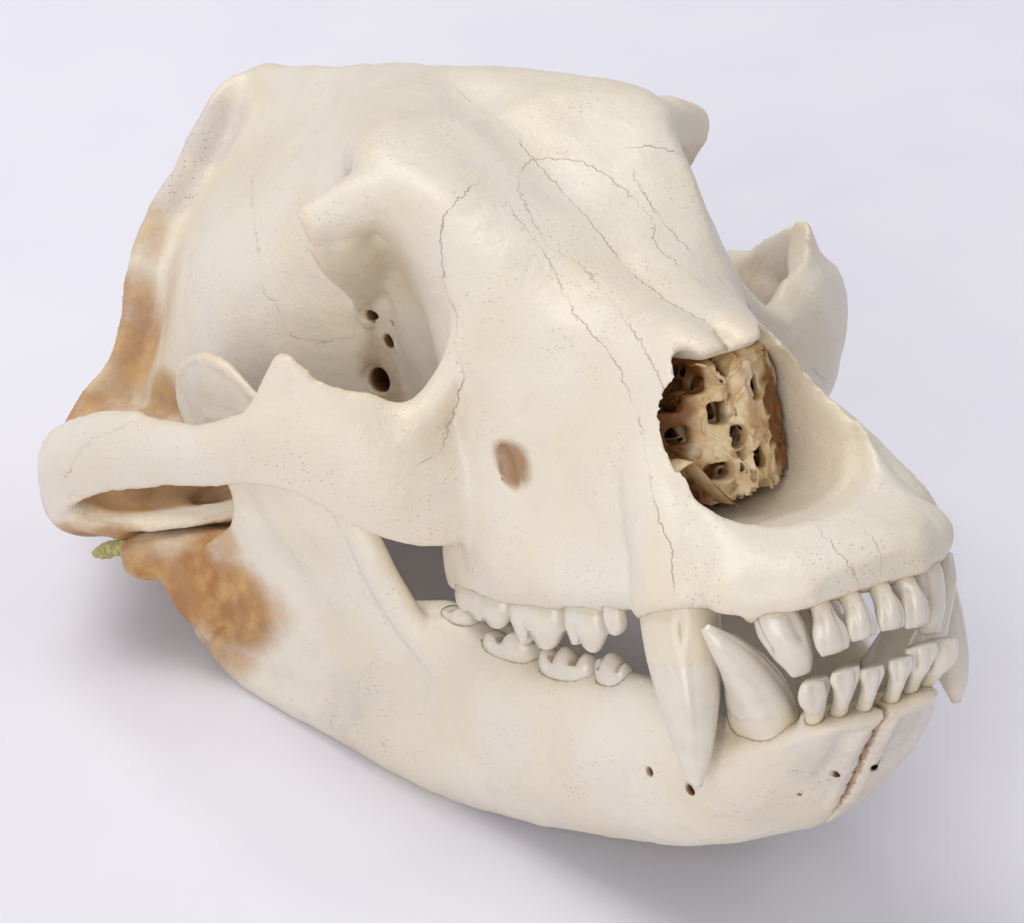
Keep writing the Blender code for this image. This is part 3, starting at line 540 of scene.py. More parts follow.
        "infraorbitalSlit": ((50, 80, 27.5, 1, 7), (44.8, 96, 30, 1.3, 7.4), (41.2, 112, 33.5, 1.9, 6.5),
                             (38, 128, 38, 1.4, 3)),
        "jointCup": ((46, 251, -3.6, 8.4, 8), (62, 254.5, -4.2, 8.6, 8.2), (80, 260, -2.2, 9, 9),
                     (97, 265.5, -1.2, 9.2, 9.2)),
        "noseCorner": ((15, 38, 58.5, 3.4, 3.4), (13.4, 45, 58, 3.4, 4), (12, 53, 57.2, 3.4, 4.4),
                       (11, 64, 54, 3, 4.4), (10, 72, 50, 2, 3)),
    },
    "orbit": ((64, 145, 77), (20, 22, 25)),
    # Round holes: middle of the mouth, direction inwards, radius and depth
    "pits": (((31.8, 199, 65), (-1, 0.5, 0), 1.9, 13), ((31.4, 198, 56), (-1, 0.5, 0), 2.1, 13),
             ((30.4, 209, 43.5), (-1, 0.5, 0), 3.9, 16), ((31.6, 192, 62), (-1, 0.5, 0), 0.8, 9)),
    "noiseLayers": ((26, 0.9), (9, 0.35), (3.4, 0.14)),
    "seed": 3,
}
craniumStrokes = {
    "noseSlit": (((0, 44, 57), (0, 48, 60), (0, 54, 63.5)), 1.8, -1.6),
    "noseGroove": (((0, 50, 62), (0, 75, 71), (0, 100, 80)), 4, -0.6),
    "foreheadDip": (((0, 128, 99), (0, 150, 111), (0, 172, 121)), 15, -1.6),
    "orbitRidgeBack": (((34, 196, 74), (33, 202, 62), (33.5, 205, 50), (37, 205, 38)), 3.4, 1.7),
    "orbitRidgeA": (((38, 172, 66), (37, 178, 56), (38, 182, 46)), 2.4, 0.9),
    "orbitRidgeB": (((41, 163, 64), (40, 168, 54), (41, 172, 45)), 2.2, 0.8),
    "orbitGroove": (((33, 190, 68), (32, 193, 58), (32, 197, 46)), 5, -1.3),
    "archSeam": (((103, 213, 46), (106, 226, 43), (109, 238, 38), (111.5, 250, 30), (112.5, 258, 24)),
                 2.6, -1.9),
    "archSeamLip": (((104, 216, 49.5), (107, 229, 46.5), (110, 242, 41), (113, 253, 33)), 4, 1.4),
    "muzzleDent": (((38, 96, 50), (39, 100, 46)), 3.2, -0.9),
    "browDent": (((30, 126, 97), (32, 134, 101)), 7, -0.9),
    "templeLine": (((50, 164, 106), (40, 178, 116), (24, 200, 126), (8, 225, 131)), 3.5, 0.6),
}
craniumSoft = {
    "orbitFront": (((44.5, 122, 66), (44.5, 121, 77), (44, 122, 88), (44, 130, 99), (46, 140, 105),
                    (49, 149, 105), (53, 155, 102)), 13),
    "orbitSill": (((46, 124, 58), (53, 126, 50), (62, 128, 49), (72, 133, 54)), 5),
    "jointEdge": (((52, 250, 2), (66, 250, 2), (80, 254, 2.5), (98, 262, 6)), 5),
    "roof": (((44, 146, 94), (44, 160, 92), (40, 175, 86)), 13),
    "noseInside": (((20, 44, 36), (19, 60, 36), (18, 80, 38)), 12),
    "noseFloor": (((0, 30, 17), (0, 50, 16), (0, 70, 16)), 9),
    "noseRim": (((0, 24, 18), (14, 24, 18), (24, 26, 21), (27, 31, 28)), 4.5),
}


def buildCranium():
    print("cranium: shells")
    smoothing = cranium["smoothing"]
    mesh = bmesh.new()
    skin(mesh, sectionRings(cranium["sections"], 5))
    for sign in sides.values():
        for name, stations in cranium["limbs"].items():
            sweep(mesh, stations, sign, turn=cranium["turns"].get(name, 0) * sign)
        addCollars(mesh, "upper", sign)
    for stations in cranium["leftLimbs"].values():
        sweep(mesh, stations)
    bone = objectFrom(mesh, "craniumBone")
    fuse(bone, cranium["voxel"], smoothing["shell"])

    print("cranium: hollows")
    mesh = bmesh.new()
    for name, stations in cranium["middleHollows"].items():
        sweep(mesh, stations, power=cranium["powers"].get(name, 1.0))
    for sign in sides.values():
        for stations in cranium["sideHollows"].values():
            sweep(mesh, stations, sign)
        centre, radii = cranium["orbit"]
        skin(mesh, ballRings((centre[0] * sign, *centre[1:]), radii))
    hollows = fuse(objectFrom(mesh, "craniumHollows"), cranium["hollowVoxel"], smoothing["hollows"])
    cut(bone, hollows)
    fuse(bone, cranium["voxel"], smoothing["bone"])
    soften(bone, craniumSoft, cranium["softening"])
    sculpt(bone, craniumStrokes)
    roughen(bone, cranium["noiseLayers"], cranium["seed"])
    mesh = bmesh.new()
    sweep(mesh, cranium["lobeSlit"], around=16)
    cut(bone, objectFrom(mesh, "lobeSlit"))
    for sign in sides.values():
        placed = cutPits(bone, cranium["pits"], sign)
    return bone, placed


# Lower jaw: cross-sections of its left half, (x, z) round the ring
jaw = {
    "voxel": 1.1,
    "smoothing": 3,        # rounds
    "softening": 12,
    "triangles": 110000,
    "halfGap": 0.15,
    "sections": (
        (-1, ((0, -31.5), (5, -31), (11, -30.6), (15, -31.2), (14, -32.8), (9, -33.4), (4, -33.6),
              (0, -33.2))),
        (4, ((0, -31.5), (6, -30.8), (14, -30.4), (19, -32.2), (17, -35), (11, -36), (4, -36.6),
             (0, -36.2))),
        (10, ((0, -33), (8, -30.6), (18, -31.5), (21, -34.5), (17, -38.5), (11, -41.5), (4, -42.4),
              (0, -41.6))),
        (18, ((0, -38), (11, -32), (23, -34), (26.5, -38), (20.5, -44), (12, -48.8), (4, -51),
              (0, -50.2))),
        (27, ((0, -44), (15, -35), (28, -35.5), (31.5, -41.5), (25.5, -51), (15, -56.4), (4, -60),
              (0, -59))),
        (38, ((0, -50), (19, -37), (30, -37), (34, -46), (27.5, -58), (15, -65), (4, -68.8), (0, -67.6))),
        (52, ((1, -57), (22, -34), (31, -34), (35, -47), (31.5, -60.5), (21, -70.4), (7, -72.4),
              (1, -70.6))),
        (68, ((10, -60), (26, -28), (35, -28), (39, -46), (36.5, -61.5), (27, -73.6), (17, -73.6),
              (11, -66))),
        (86, ((19, -54), (28, -28), (39, -28.5), (43, -45), (40.5, -62.5), (30, -75.5), (22, -75),
              (17, -64))),
        (110, ((25, -50), (31, -29), (43, -30), (47, -46), (45.5, -63.5), (36, -76), (28, -75),
               (24, -64))),
        (134, ((30, -46), (34, -24), (47, -25), (52, -43), (51.5, -61), (43, -75), (35, -74), (30, -61))),
        (156, ((36, -40), (39, -16), (51, -16.5), (57, -38), (59, -59), (50, -73), (43, -71), (37, -58))),
        (176, ((46, -36), (50, -16), (57, -16), (62, -36), (64, -55), (57.5, -67), (51, -65), (46, -54))),
        (198, ((56, -38), (58, -20), (64, -20), (68, -38), (70, -49), (65, -58), (58, -56), (55, -48))),
        (222, ((65, -38), (66, -26), (71, -26), (75, -38), (76, -44), (72, -51), (67, -50), (64, -44))),
        (242, ((72, -34), (73, -26), (77, -26), (80, -33), (81, -37), (78, -42), (74, -41), (71, -38))),
        (256, ((76, -29), (76.5, -25), (79, -25), (81.5, -28), (82, -30), (80, -33), (77, -33),
               (75.5, -31))),
    ),
    # Upright plate: (z, front x, front y, back x, back y, thickness) of flat ovals, bottom to top
    "plate": (
        (-60, 50, 150, 60, 190, 6), (-48, 52, 152, 68, 214, 7), (-36, 54, 153, 77, 240, 7),
        (-26, 56, 158, 81, 257, 7), (-14, 58, 160, 83, 264, 7), (-4, 60.5, 161, 80, 258, 7),
        (4, 62, 161.5, 78.5, 241, 6.8), (11, 64, 162, 77, 227, 6.5), (20, 66, 168, 76.5, 224, 6),
        (30, 68, 178, 76, 238, 6), (40, 70, 190, 75, 250, 5.5), (50, 72, 205, 74.5, 252, 5),
        (56, 73, 216, 74.5, 246, 4), (59, 73.5, 226, 74.5, 238, 2.5),
    ),
    "limbs": {
        "plateFront": ((50, 152, -30, 5, 6), (54, 159, -20, 5, 5), (59, 163, -6, 4.5, 5),
                       (63.5, 166, 12, 4, 5), (67, 178, 28, 3.2, 4.2), (70.5, 193, 42, 2.5, 3.4),
                       (72, 206, 51, 1.9, 2.4)),
        "plateRim": ((76.5, 228, 25, 1.8, 2.4), (76, 243, 33, 1.9, 2.4), (75.3, 250.5, 42, 2, 2.4),
                     (74.8, 251, 50, 2, 2.2), (74.5, 244, 56.2, 1.9, 2), (74.2, 232, 59, 1.8, 1.8),
                     (73.2, 217, 57, 1.8, 1.8), (71, 203, 49, 1.8, 1.8)),
        "condyle": ((57, 252, -5.5, 4, 4), (62, 253.5, -4.6, 7.6, 6.8), (74, 257.5, -3.2, 8.2, 7.8),
                    (86, 261.5, -1.5, 8.2, 8), (95, 265, -1, 7, 7), (99, 266.5, -1, 3.5, 3.5)),
        "condyleNeck": ((80, 258, -3, 12, 7), (80, 254, -14, 10, 7), (78, 246, -26, 6, 9)),
        "angularHook": ((72, 238, -34, 4, 6), (77, 252, -30, 3.8, 5), (79.5, 261, -27, 3, 4),
                        (80, 265, -25, 1.5, 2)),
    },
    "pits": {
        "both": (((42.6, 61, -48.4), (-1, 0.35, -0.1), 1.3, 7), ((36, 47, -52), (-1, 0.5, -0.1), 1.6, 7),
                 ((12.6, 15, -49.5), (-1, 0.55, -0.15), 1.0, 5)),
        "right": (((19, 22, -54), (-1, 0.7, -0.2), 0.45, 3),),
        "left": (((4.2, 16, -52), (0.5, 1, -0.1), 1.0, 5),),
    },
    "crack": {"reach": 7, "swing": 0.55, "steps": (6.1, 2.7)},
    "noiseLayers": ((22, 0.7), (8, 0.3), (3.2, 0.12)),
    "seed": 8,
}
jawStrokes = {
    "plateHollow": (((66, 196, -14), (69, 208, 6), (71, 214, 24)), 15, -1.3),
    "plateSpine": (((70, 196, 34), (73, 212, 40), (75, 232, 42)), 4, 0.8),
    "frontRidge": (((49, 150, -24), (55.5, 157, -8), (61, 162, 10)), 4.5, 1.1),
    "frontGroove": (((55, 163, -26), (60, 170, -10)), 5, -0.9),
    "rearGroove": (((70, 224, -22), (64, 206, -38), (58, 190, -50)), 5, -0.8),
    "rearRidge": (((76, 236, -30), (69, 215, -45), (61, 193, -56)), 4, 0.8),
    "chinRidge": (((4.6, 4, -38), (4.2, 12, -44), (4, 20, -52), (3.6, 30, -62)), 3, 1.0),
    "chinDip": (((9.5, 5, -37), (9.5, 12, -43), (10, 18, -49)), 4.5, -1.1),
}
jawSoft = {
    "lowerEdge": (((36, 110, -76), (43, 134, -75), (50, 156, -72)), 8),
}


def plateRings(sign):
    path = smoothPath(jaw["plate"], 5)
    angles = roundAngles(36)
    rings = []
    for z, frontX, frontY, backX, backY, thickness in path:
        middle = np.array(((frontX + backX) / 2, (frontY + backY) / 2))
        reach = np.array((backX - frontX, backY - frontY)) / 2
        across = np.array((reach[1], -reach[0])) / np.linalg.norm(reach) * thickness / 2
        flat = middle + np.outer(np.cos(angles), reach) + np.outer(np.sin(angles), across)
        rings.append(np.column_stack((flat[:, 0] * sign, flat[:, 1], np.full(len(flat), z))))
    return rings


def buildJawHalf(side):
    print("lower jaw:", side)
    sign = sides[side]
    mesh = bmesh.new()
    rings = []
    for y, ring in jaw["sections"]:
        points = [((x + jaw["halfGap"]) * sign, y, z) for x, z in ring]
        rings.append(smoothPath(points, 5, closed=True))
    skin(mesh, alongSkull(rings, 5))
    skin(mesh, plateRings(sign))
    for stations in jaw["limbs"].values():
        sweep(mesh, stations, sign)
    addCollars(mesh, "lower", sign)
    bone = fuse(objectFrom(mesh, "jawBone_" + side), jaw["voxel"], jaw["smoothing"])
    soften(bone, jawSoft, jaw["softening"])
    sculpt(bone, jawStrokes)
    roughen(bone, jaw["noiseLayers"], jaw["seed"])
    points = places(bone)
    points[:, 0] = sign * np.maximum(points[:, 0] * sign, jaw["halfGap"])
    # The crack between the halves zigzags, the same way in both
    crack = jaw["crack"]
    along = points[:, 2] * 0.8 - points[:, 1] * 0.6
    for step in crack["steps"]:
        swing = 4 * abs((along / step) % 1 - 0.5) - 1
        points[:, 0] += crack["swing"] * swing * ease(1 - abs(points[:, 0]) / crack["reach"])
    moveTo(bone, points)
    placed = cutPits(bone, jaw["pits"]["both"] + jaw["pits"][side], sign)
    return bone, placed


# Front teeth: swept ovals from the root to the tip, (x, y, z, half-width, half-depth), how far
# each is turned round its own length, and its grooves
frontTeeth = {
    "upper_incisor_1": {
        "path": ((4.2, 8, 12, 1.8, 2.4), (4.3, 3.6, 5, 2.3, 3), (4.4, 0.8, 0.2, 2.4, 3),
                 (4.45, -1.4, -3, 2.7, 3.4), (4.5, -2.7, -5.6, 3.6, 3.3), (4.45, -3.3, -8.4, 4, 2.4),
                 (4.3, -3.2, -10.7, 3.5, 1.3)),
        "turn": 3, "gum": -0.6, "grooves": ((-50, 20, 0.22, 0.4, 1.1), (-130, 20, 0.22, 0.4, 1.1))},
    "upper_incisor_2": {
        "path": ((12, 9, 12, 2, 2.6), (12.1, 5, 5, 2.5, 3.2), (12.3, 2.2, 0, 2.6, 3.3),
                 (12.6, 0.2, -3.4, 3, 3.7), (12.7, -1, -6.6, 4.3, 3.6), (12.5, -1.7, -10, 4.6, 2.6),
                 (12.2, -1.6, -12.5, 3.8, 1.4)),
        "turn": 14, "gum": -0.8, "grooves": ((-50, 20, 0.24, 0.4, 1.1), (-130, 20, 0.2, 0.4, 1.1))},
    "upper_incisor_3": {
        "path": ((22, 17, 12, 2.8, 3.4), (22.3, 12.6, 6, 3.8, 4.4), (22.4, 9.9, 0, 4.8, 5.2),
                 (22, 7.8, -4, 6, 5.4), (21, 6, -8.6, 5.6, 4.8), (20, 4.6, -13, 4.4, 3.9),
                 (19.5, 4.2, -17.2, 2.7, 2.2)),
        "turn": 32, "gum": -1.6, "grooves": ((-30, 20, 0.26, 0.3, 0.75), (-138, 22, 0.2, 0.4, 0.8))},
    "upper_canine": {
        "path": ((30.5, 45, 18, 5.4, 7.6), (32.3, 39.4, 7, 7.8, 10.8), (34, 36.4, -2, 9.2, 12.2),
                 (36.3, 33.8, -13, 8.8, 10.8), (38.5, 31.2, -26, 6.6, 8.6),
                 (40, 30.2, -37, 4.2, 5.4), (40.4, 30.9, -46, 1.3, 1.4)),
        "turn": 0, "gum": -2.5, "grooves": ((-52, 7, 0.1, 0.3, 0.52), (-70, 9, 0.05, 0.35, 0.95),
                                            (-20, 12, 0.04, 0.4, 0.95))},
    "lower_incisor_1": {
        "path": ((4.4, 15, -42, 1.4, 2.2), (4.3, 9, -36, 1.6, 2.3), (4.25, 4, -31.5, 1.6, 2.2),
                 (4.2, 0.6, -27.6, 1.8, 2.1), (4.25, -2.2, -23.8, 2.3, 2.2), (4.3, -4.2, -20.6, 3.4, 2.2),
                 (4.3, -5, -18.4, 3.3, 1.6)),
        "turn": 3, "gum": -32, "grooves": ((-60, 16, 0.26, 0.6, 1.1), (-118, 16, 0.14, 0.6, 1.1))},
    "lower_incisor_2": {
        "path": ((10, 16, -40, 1.5, 2.3), (10.4, 10, -35, 1.7, 2.4), (10.8, 4.8, -30.5, 1.7, 2.3),
                 (11.1, 1.3, -26.4, 2, 2.2), (11.3, -1.6, -22.4, 3.2, 2.4), (11.4, -3.3, -19.2, 4.6, 2.4),
                 (11.4, -4, -17.1, 4.3, 1.7)),
        "turn": 8, "gum": -31, "grooves": ((-62, 12, 0.34, 0.6, 1.1), (-120, 16, 0.16, 0.6, 1.1))},
    "lower_incisor_3": {
        "path": ((13.8, 14.5, -37, 1.4, 1.8), (15.3, 10, -33.4, 1.8, 2.1), (16.8, 6.2, -29.8, 2.1, 2.4),
                 (18, 3.2, -26.4, 2.8, 2.8), (18.7, 1, -22.8, 5, 3.2), (18.8, -0.2, -20, 5.3, 2.8),
                 (18.7, -0.6, -18.4, 4.4, 2)),
        "turn": 20, "gum": -30.5, "grooves": ((-58, 12, 0.42, 0.5, 1.1), (-125, 18, 0.14, 0.6, 1.1))},
    "lower_canine": {
        "path": ((17, 44, -53, 4.5, 6), (17.6, 35, -44, 6.6, 9), (19.8, 27.5, -34.5, 7.8, 10.8),
                 (23.4, 21.2, -24.5, 7.6, 9.6), (28.4, 17.8, -15, 5.8, 6.4),
                 (33.6, 17, -7.5, 3.7, 3.9), (37.2, 18.2, -2.2, 1.3, 1.3)),
        "turn": 0, "gum": -33, "grooves": ((-60, 9, 0.06, 0.4, 1.0), (-110, 12, 0.05, 0.4, 0.95))},
}
# Cheek teeth: middle (x, y) and gum height, length, width, crown height, root depth, turn
# of the row in degrees, and cusps as (place along, place across, height, radius)
cheekTeeth = {
    "upper_premolar_3": (38.8, 64, -3.3, 8, 5, 7.5, 6, 5, ((0, 0.1, 1.0, 0.7),)),
    "upper_premolar_4": (38.2, 80.5, -5.5, 18.5, 10.5, 11.5, 7, 5,
                         ((-0.4, 0.45, 1.0, 0.42), (0.4, 0.5, 0.75, 0.4), (0.15, -0.5, 0.4, 0.35))),
    "upper_molar_1": (39.2, 106, -6.8, 27, 13.5, 12.5, 7, 4,
                      ((-0.42, 0.5, 1.0, 0.42), (0.42, 0.5, 0.98, 0.42), (-0.45, -0.5, 0.55, 0.35),
                       (0.42, -0.52, 0.55, 0.35))),
    "upper_molar_2": (39.8, 137, -7.2, 32, 14.5, 10, 7, 2,
                      ((-0.6, 0.5, 0.95, 0.35), (-0.1, 0.52, 0.75, 0.33), (0.45, 0.4, 0.4, 0.3),
                       (-0.5, -0.5, 0.5, 0.3), (0.1, -0.5, 0.5, 0.3))),
    "lower_premolar_4": (33.8, 80.5, -29.8, 14, 7.6, 11, 7, 9,
                         ((-0.1, 0.1, 1.0, 0.5), (0.75, 0, 0.45, 0.3), (-0.8, 0, 0.4, 0.3))),
    "lower_molar_1": (36, 102, -29.5, 26, 10, 10, 7, 8,
                      ((-0.72, 0.1, 0.65, 0.3), (-0.12, 0.35, 1.0, 0.38), (0.5, 0.4, 0.8, 0.34),
                       (0.1, -0.5, 0.75, 0.3), (0.65, -0.45, 0.6, 0.3))),
    "lower_molar_2": (39.2, 129, -26.2, 25, 12, 8.5, 7, 8,
                      ((-0.5, 0.5, 1.0, 0.38), (0.35, 0.5, 0.8, 0.38), (-0.4, -0.5, 0.75, 0.32),
                       (0.45, -0.5, 0.8, 0.32))),
    "lower_molar_3": (42.6, 151, -18.6, 15.5, 11, 5.4, 6, 10,
                      ((-0.4, 0.4, 1.0, 0.4), (0.4, 0.3, 0.7, 0.4), (0, -0.5, 0.75, 0.35))),
}
toothBuild = {
    "around": 48,
    "steps": 6,
    "capRows": 14,
    "power": 0.88,               # under 1 makes a front tooth boxier
    "cheekPower": 0.75,          # the same for a cheek tooth
    "socketClearance": 0.15,     # mm
    "collar": 2.0,               # how thick the bone swells round a root, mm
    "noiseLayers": ((6, 0.14), (2.2, 0.05)),
    # Height at which the enamel starts, mm
    "enamelStart": {"upper_canine": -12.0, "lower_canine": -29.0, "upper": -0.5, "lower": -28.0},
}


def frontToothRings(name, sign, clearance=0.0):
    tooth = frontTeeth[name]
    stations = mirrored(tooth["path"], sign)
    if clearance:
        stations = grown(stations, clearance)
    grooves = [(angle if sign > 0 else 180 - angle, *rest) for angle, *rest in tooth["grooves"]]
    return ovalRings(stations, toothBuild["around"], toothBuild["steps"], toothBuild["power"],
                     tooth["turn"] * sign, grooves)


def addCollars(mesh, jawName, sign):
    # A swelling of bone round the root of each front tooth, up to its gum line
    for name, tooth in frontTeeth.items():
        if name.startswith(jawName):
            path = smoothPath(mirrored(tooth["path"], sign), 6)
            covered = path[:, 2] > tooth["gum"] if jawName == "upper" else path[:, 2] < tooth["gum"]
            path = path[covered]
            path[:, 3:] += toothBuild["collar"]
            skin(mesh, ovalRings(path, 32, 1, 0.95, tooth["turn"] * sign))


def cheekToothRings(name, sign, clearance=0.0):
    # Side wall from the root up to the widest line, then rings that close over the cusps
    x, y, gum, length, width, crown, root, turn, cusps = cheekTeeth[name]
    down = -1 if gum > -15 else 1
    heading = math.radians(turn)
    angles = roundAngles(toothBuild["around"])
    across = boxy(np.cos(angles), toothBuild["cheekPower"])
    along = boxy(np.sin(angles), toothBuild["cheekPower"])
    lobes = np.zeros(len(angles))
    for cuspAlong, cuspAcross, height, radius in cusps:
        sameSide = ease(across * np.sign(cuspAcross) * 2)
        lobe = np.exp(-((along - cuspAlong) / (radius * 0.8)) ** 2)
        lobes = np.maximum(lobes, height * sameSide * lobe)
    outline = 0.93 + 0.1 * lobes
    across, along = across * width / 2, along * length / 2
    # Height, width and length, as shares of the whole, from the root to the widest line and over it
    walls = ((-root, 0.6, 0.72), (-0.4 * root, 0.76, 0.8), (0, 0.84, 0.88), (0.22 * crown, 0.96, 0.97),
             (0.42 * crown, 1.0, 1.0), (0.55 * crown, 0.96, 0.98))
    walls = smoothPath(walls, 4)
    rings = []
    for level, wide, long in walls:
        bulging = 1 + (outline - 1) * ease(level / (0.4 * crown))
        rings.append((across * wide * bulging, along * long * bulging, np.full(len(angles), level)))
    for row in range(1, toothBuild["capRows"]):
        share = 1 - row / toothBuild["capRows"]
        u, v = across * share * 0.96 * outline, along * share * 0.98 * outline
        bump = np.zeros(len(angles))
        for cuspAlong, cuspAcross, height, radius in cusps:
            away = np.hypot((v / (length / 2) - cuspAlong) * length / width, u / (width / 2) - cuspAcross)
            near = np.clip(1 - (away / (radius * 2.3)) ** 2, 0, 1)
            bump = np.maximum(bump, height * near ** 1.25)
        rings.append((u, v, crown * (0.55 - 0.06 * (1 - share) + 0.47 * bump)))
    result = []
    for index, (u, v, height) in enumerate(rings):
        reach = np.maximum(np.hypot(u, v), 1e-6)
        widen = clearance if index < len(walls) else clearance * 0.5
        u, v = u * (1 + widen / reach), v * (1 + widen / reach)
        height = height + (-clearance if index == 0 else clearance if index >= len(walls) else 0)
        px = x + u * math.cos(heading) + v * math.sin(heading)
        py = y - u * math.sin(heading) + v * math.cos(heading)
        result.append(np.column_stack((px * sign, py, gum + down * height)))
    return result


def toothMesh(names, sign, clearance=0.0):
    mesh = bmesh.new()
    for name in names:
        ringsOf = frontToothRings if name in frontTeeth else cheekToothRings
        skin(mesh, ringsOf(name, sign, clearance))
    return mesh


def buildTooth(name, side):
    tooth = objectFrom(toothMesh([name], sides[side]), "tooth_" + name + "_" + side)
    jawName = name.split("_")[0]
    starts = toothBuild["enamelStart"]
    start = cheekTeeth[name][2] if name in cheekTeeth else starts.get(name, starts[jawName])
    keepValue(tooth, "rise", (places(tooth)[:, 2] - start) * (-1 if jawName == "upper" else 1))
    roughen(tooth, toothBuild["noiseLayers"], len(name))
    keepForm(tooth)
    return tooth


def cutSockets(bone, jawName, side):
    # Neighbouring sockets touch, so every other one is cut at a time
    row = [name for name in (*frontTeeth, *cheekTeeth) if name.startswith(jawName)]
    for first in (0, 1):
        cutter = objectFrom(toothMesh(row[first::2], sides[side], toothBuild["socketClearance"]), "sockets")
        cut(bone, cutter)


# Where the bone is stained or tinted, and where shade is painted into its hollows: (middle in the left half,
# radii, strength), in mm
tintsAndShade = {
    "stain": (
        ((82, 256, -12), (13, 19, 14), 1.15), ((76, 238, -16), (13, 26, 16), 1.0),
        ((70, 222, -16), (10, 18, 12), 0.6), ((77, 246, -30), (10, 20, 12), 0.65),
        ((96, 276, 8), (20, 14, 12), 0.9), ((103, 262, 6), (10, 14, 7), 0.8),
        ((88, 264, -4), (18, 13, 10), 1.0), ((72, 252, -3), (15, 15, 10), 0.9),
        ((78, 236, 4), (10, 14, 9), 0.6), ((60, 328, 55), (14, 14, 26), 0.75),
        ((86, 324, 36), (18, 14, 10), 0.8), ((48, 330, 86), (10, 10, 14), 0.5),
        ((72, 318, 42), (16, 16, 12), 0.6), ((46, 308, 66), (14, 16, 22), 0.4),
        ((62, 301, 38), (13, 14, 10), 0.75), ((58, 288, 31), (14, 12, 11), 0.55),
    ),
    "mauve": (
        ((44, 180, 108), (14, 30, 14), 0.5), ((20, 325, 112), (18, 12, 12), 0.8),
        ((36, 328, 98), (14, 10, 12), 0.7), ((56, 190, -44), (20, 26, 18), 0.55),
        ((8, 12, -46), (15, 16, 18), 0.5),
    ),
    # Painted shade: the nose cavity, under the cheek arch, the jaw joint, the chin crack and other hollows
    # are darkened
    "hollowShade": (
        ((0, 100, 38), (22, 34, 24), 1.0), ((74, 282, 18), (38, 16, 13), 1.6),
        ((66, 290, 10), (32, 18, 12), 1.5), ((30, 206, 46), (7, 12, 16), 0.55),
        ((0, 14, -46), (1.5, 32, 30), 0.75), ((62, 262, 3), (34, 10, 4), 0.9),
        ((41, 108, 32), (3.5, 14, 8), 0.8),
    ),
}


def blobs(points, spots):
    total = np.zeros(len(points))
    for middle, radii, strength in spots:
        away = np.linalg.norm((points - middle) / radii, axis=1)
        total = np.maximum(total, strength * ease(1.5 - away))
    return total


# Lines that the photograph shows, in its pixels: sutures, cracks and seams. Each is laid on
# the side of the skull that faces the camera, and mirrored to the other.
photoLines = {
    "lineA": {
        "noseEdge": (((540, 160), (527, 163), (519, 176), (522, 196), (548, 245), (577, 261), (610, 300),
                      (640, 340), (665, 389)), 0.7),
        "templeSuture": (((272, 135), (255, 165), (252, 200), (258, 250), (262, 290), (273, 300)), 0.5),
        "archCrack": (((70, 470), (88, 443), (120, 428), (130, 424)), 0.9),
        "frontSuture": (((820, 530), (852, 570), (862, 600)), 0.7),
        "cheekSuture": (((450, 425), (440, 450), (412, 470), (385, 500)), 0.6),
    },
    "lineB": {
        "muzzleSuture": (((512, 212), (548, 258), (574, 313), (616, 362), (641, 428), (647, 461),
                          (659, 520), (672, 546), (673, 582)), 0.8),
        "cheekBrowSuture": (((468, 190), (450, 208), (440, 230), (443, 262), (445, 290), (458, 318),
                             (455, 345), (463, 372), (458, 400), (448, 425)), 1.0),
        "templeLoop": (((280, 315), (290, 335), (320, 342), (345, 338)), 0.6),
    },
}
lineMarks = {
    "facing": 0.12,     # how far a surface has to face the camera to be marked
    "reach": 7,         # mm
    "far": 9.0,         # what counts as away from every line, mm
}
# Where the seam along the middle of the roof runs, y and z in mm
middleSeam = {"start": 42, "startFade": 4, "lowest": 40, "fadeStart": 150, "fadeLength": 60}


def toPhoto(points):
    # Pixel place and scale, in pixels for each millimetre, of points in the skull's frame
    right, down = np.array(camera["right"]), np.array(camera["down"])
    ahead = np.cross(right, down)
    away = points - np.array(camera["place"])
    focal = camera["lens"] / camera["sensor"] * camera["photoSize"][0]
    depth = away @ ahead
    u = camera["photoSize"][0] / 2 + focal * (away @ right) / depth
    v = camera["photoSize"][1] / 2 + focal * (away @ down) / depth
    return np.column_stack((u, v)), focal / depth


def markLines(bone):
    # For each set: signed distance to the nearest line in mm, how near it is, and its strength
    points = places(bone)
    normals = outwards(bone)
    flip = flipsTo("right", points)
    rightPoints, rightNormals = points * flip, normals * flip
    pixels, scale = toPhoto(rightPoints)
    toCamera = np.array(camera["place"]) - rightPoints
    toCamera /= np.linalg.norm(toCamera, axis=1)[:, None]
    seen = dots(rightNormals, toCamera) > lineMarks["facing"]
    for setName, lines in photoLines.items():
        best = np.full(len(points), lineMarks["far"])
        values = np.zeros((len(points), 3))
        values[:, 0] = lineMarks["far"]
        for path, strength in lines.values():
            path = smoothPath(path, 3)
            for start, end in zip(path, path[1:]):
                stretch = end - start
                offset = pixels - start
                share = np.clip(offset @ stretch / (stretch @ stretch), 0, 1)
                gap = offset - share[:, None] * stretch
                away = np.linalg.norm(gap, axis=1) / scale
                turn = np.sign(stretch[0] * offset[:, 1] - stretch[1] * offset[:, 0])
                nearer = seen & (away < best)
                best[nearer] = away[nearer]
                values[nearer, 0] = (away * turn)[nearer]
                values[nearer, 2] = strength
        values[:, 1] = ease(1 - best / lineMarks["reach"])
        keepValue(bone, setName, values)
    # The middle seam follows the skull's own middle plane
    x, y, z = points.T
    top = ease(normals[:, 2] * 3) * ease((y - middleSeam["start"]) / middleSeam["startFade"])
    top = top * (z > middleSeam["lowest"])
    fade = 0.8 - 0.55 * ease((y - middleSeam["fadeStart"]) / middleSeam["fadeLength"])
    near = ease(1 - abs(x) / lineMarks["reach"]) * top
    keepValue(bone, "middleSeam", np.column_stack((x, near, fade)))


def tintAndShadeBone(bone):
    half = folded(places(bone))
    keepValue(bone, "tint", np.column_stack([blobs(half, spots) for spots in tintsAndShade.values()]))


def markBone(bone, pits, triangles):
    thin(bone, triangles)
    tintAndShadeBone(bone)
    keepForm(bone, pits)
    markLines(bone)


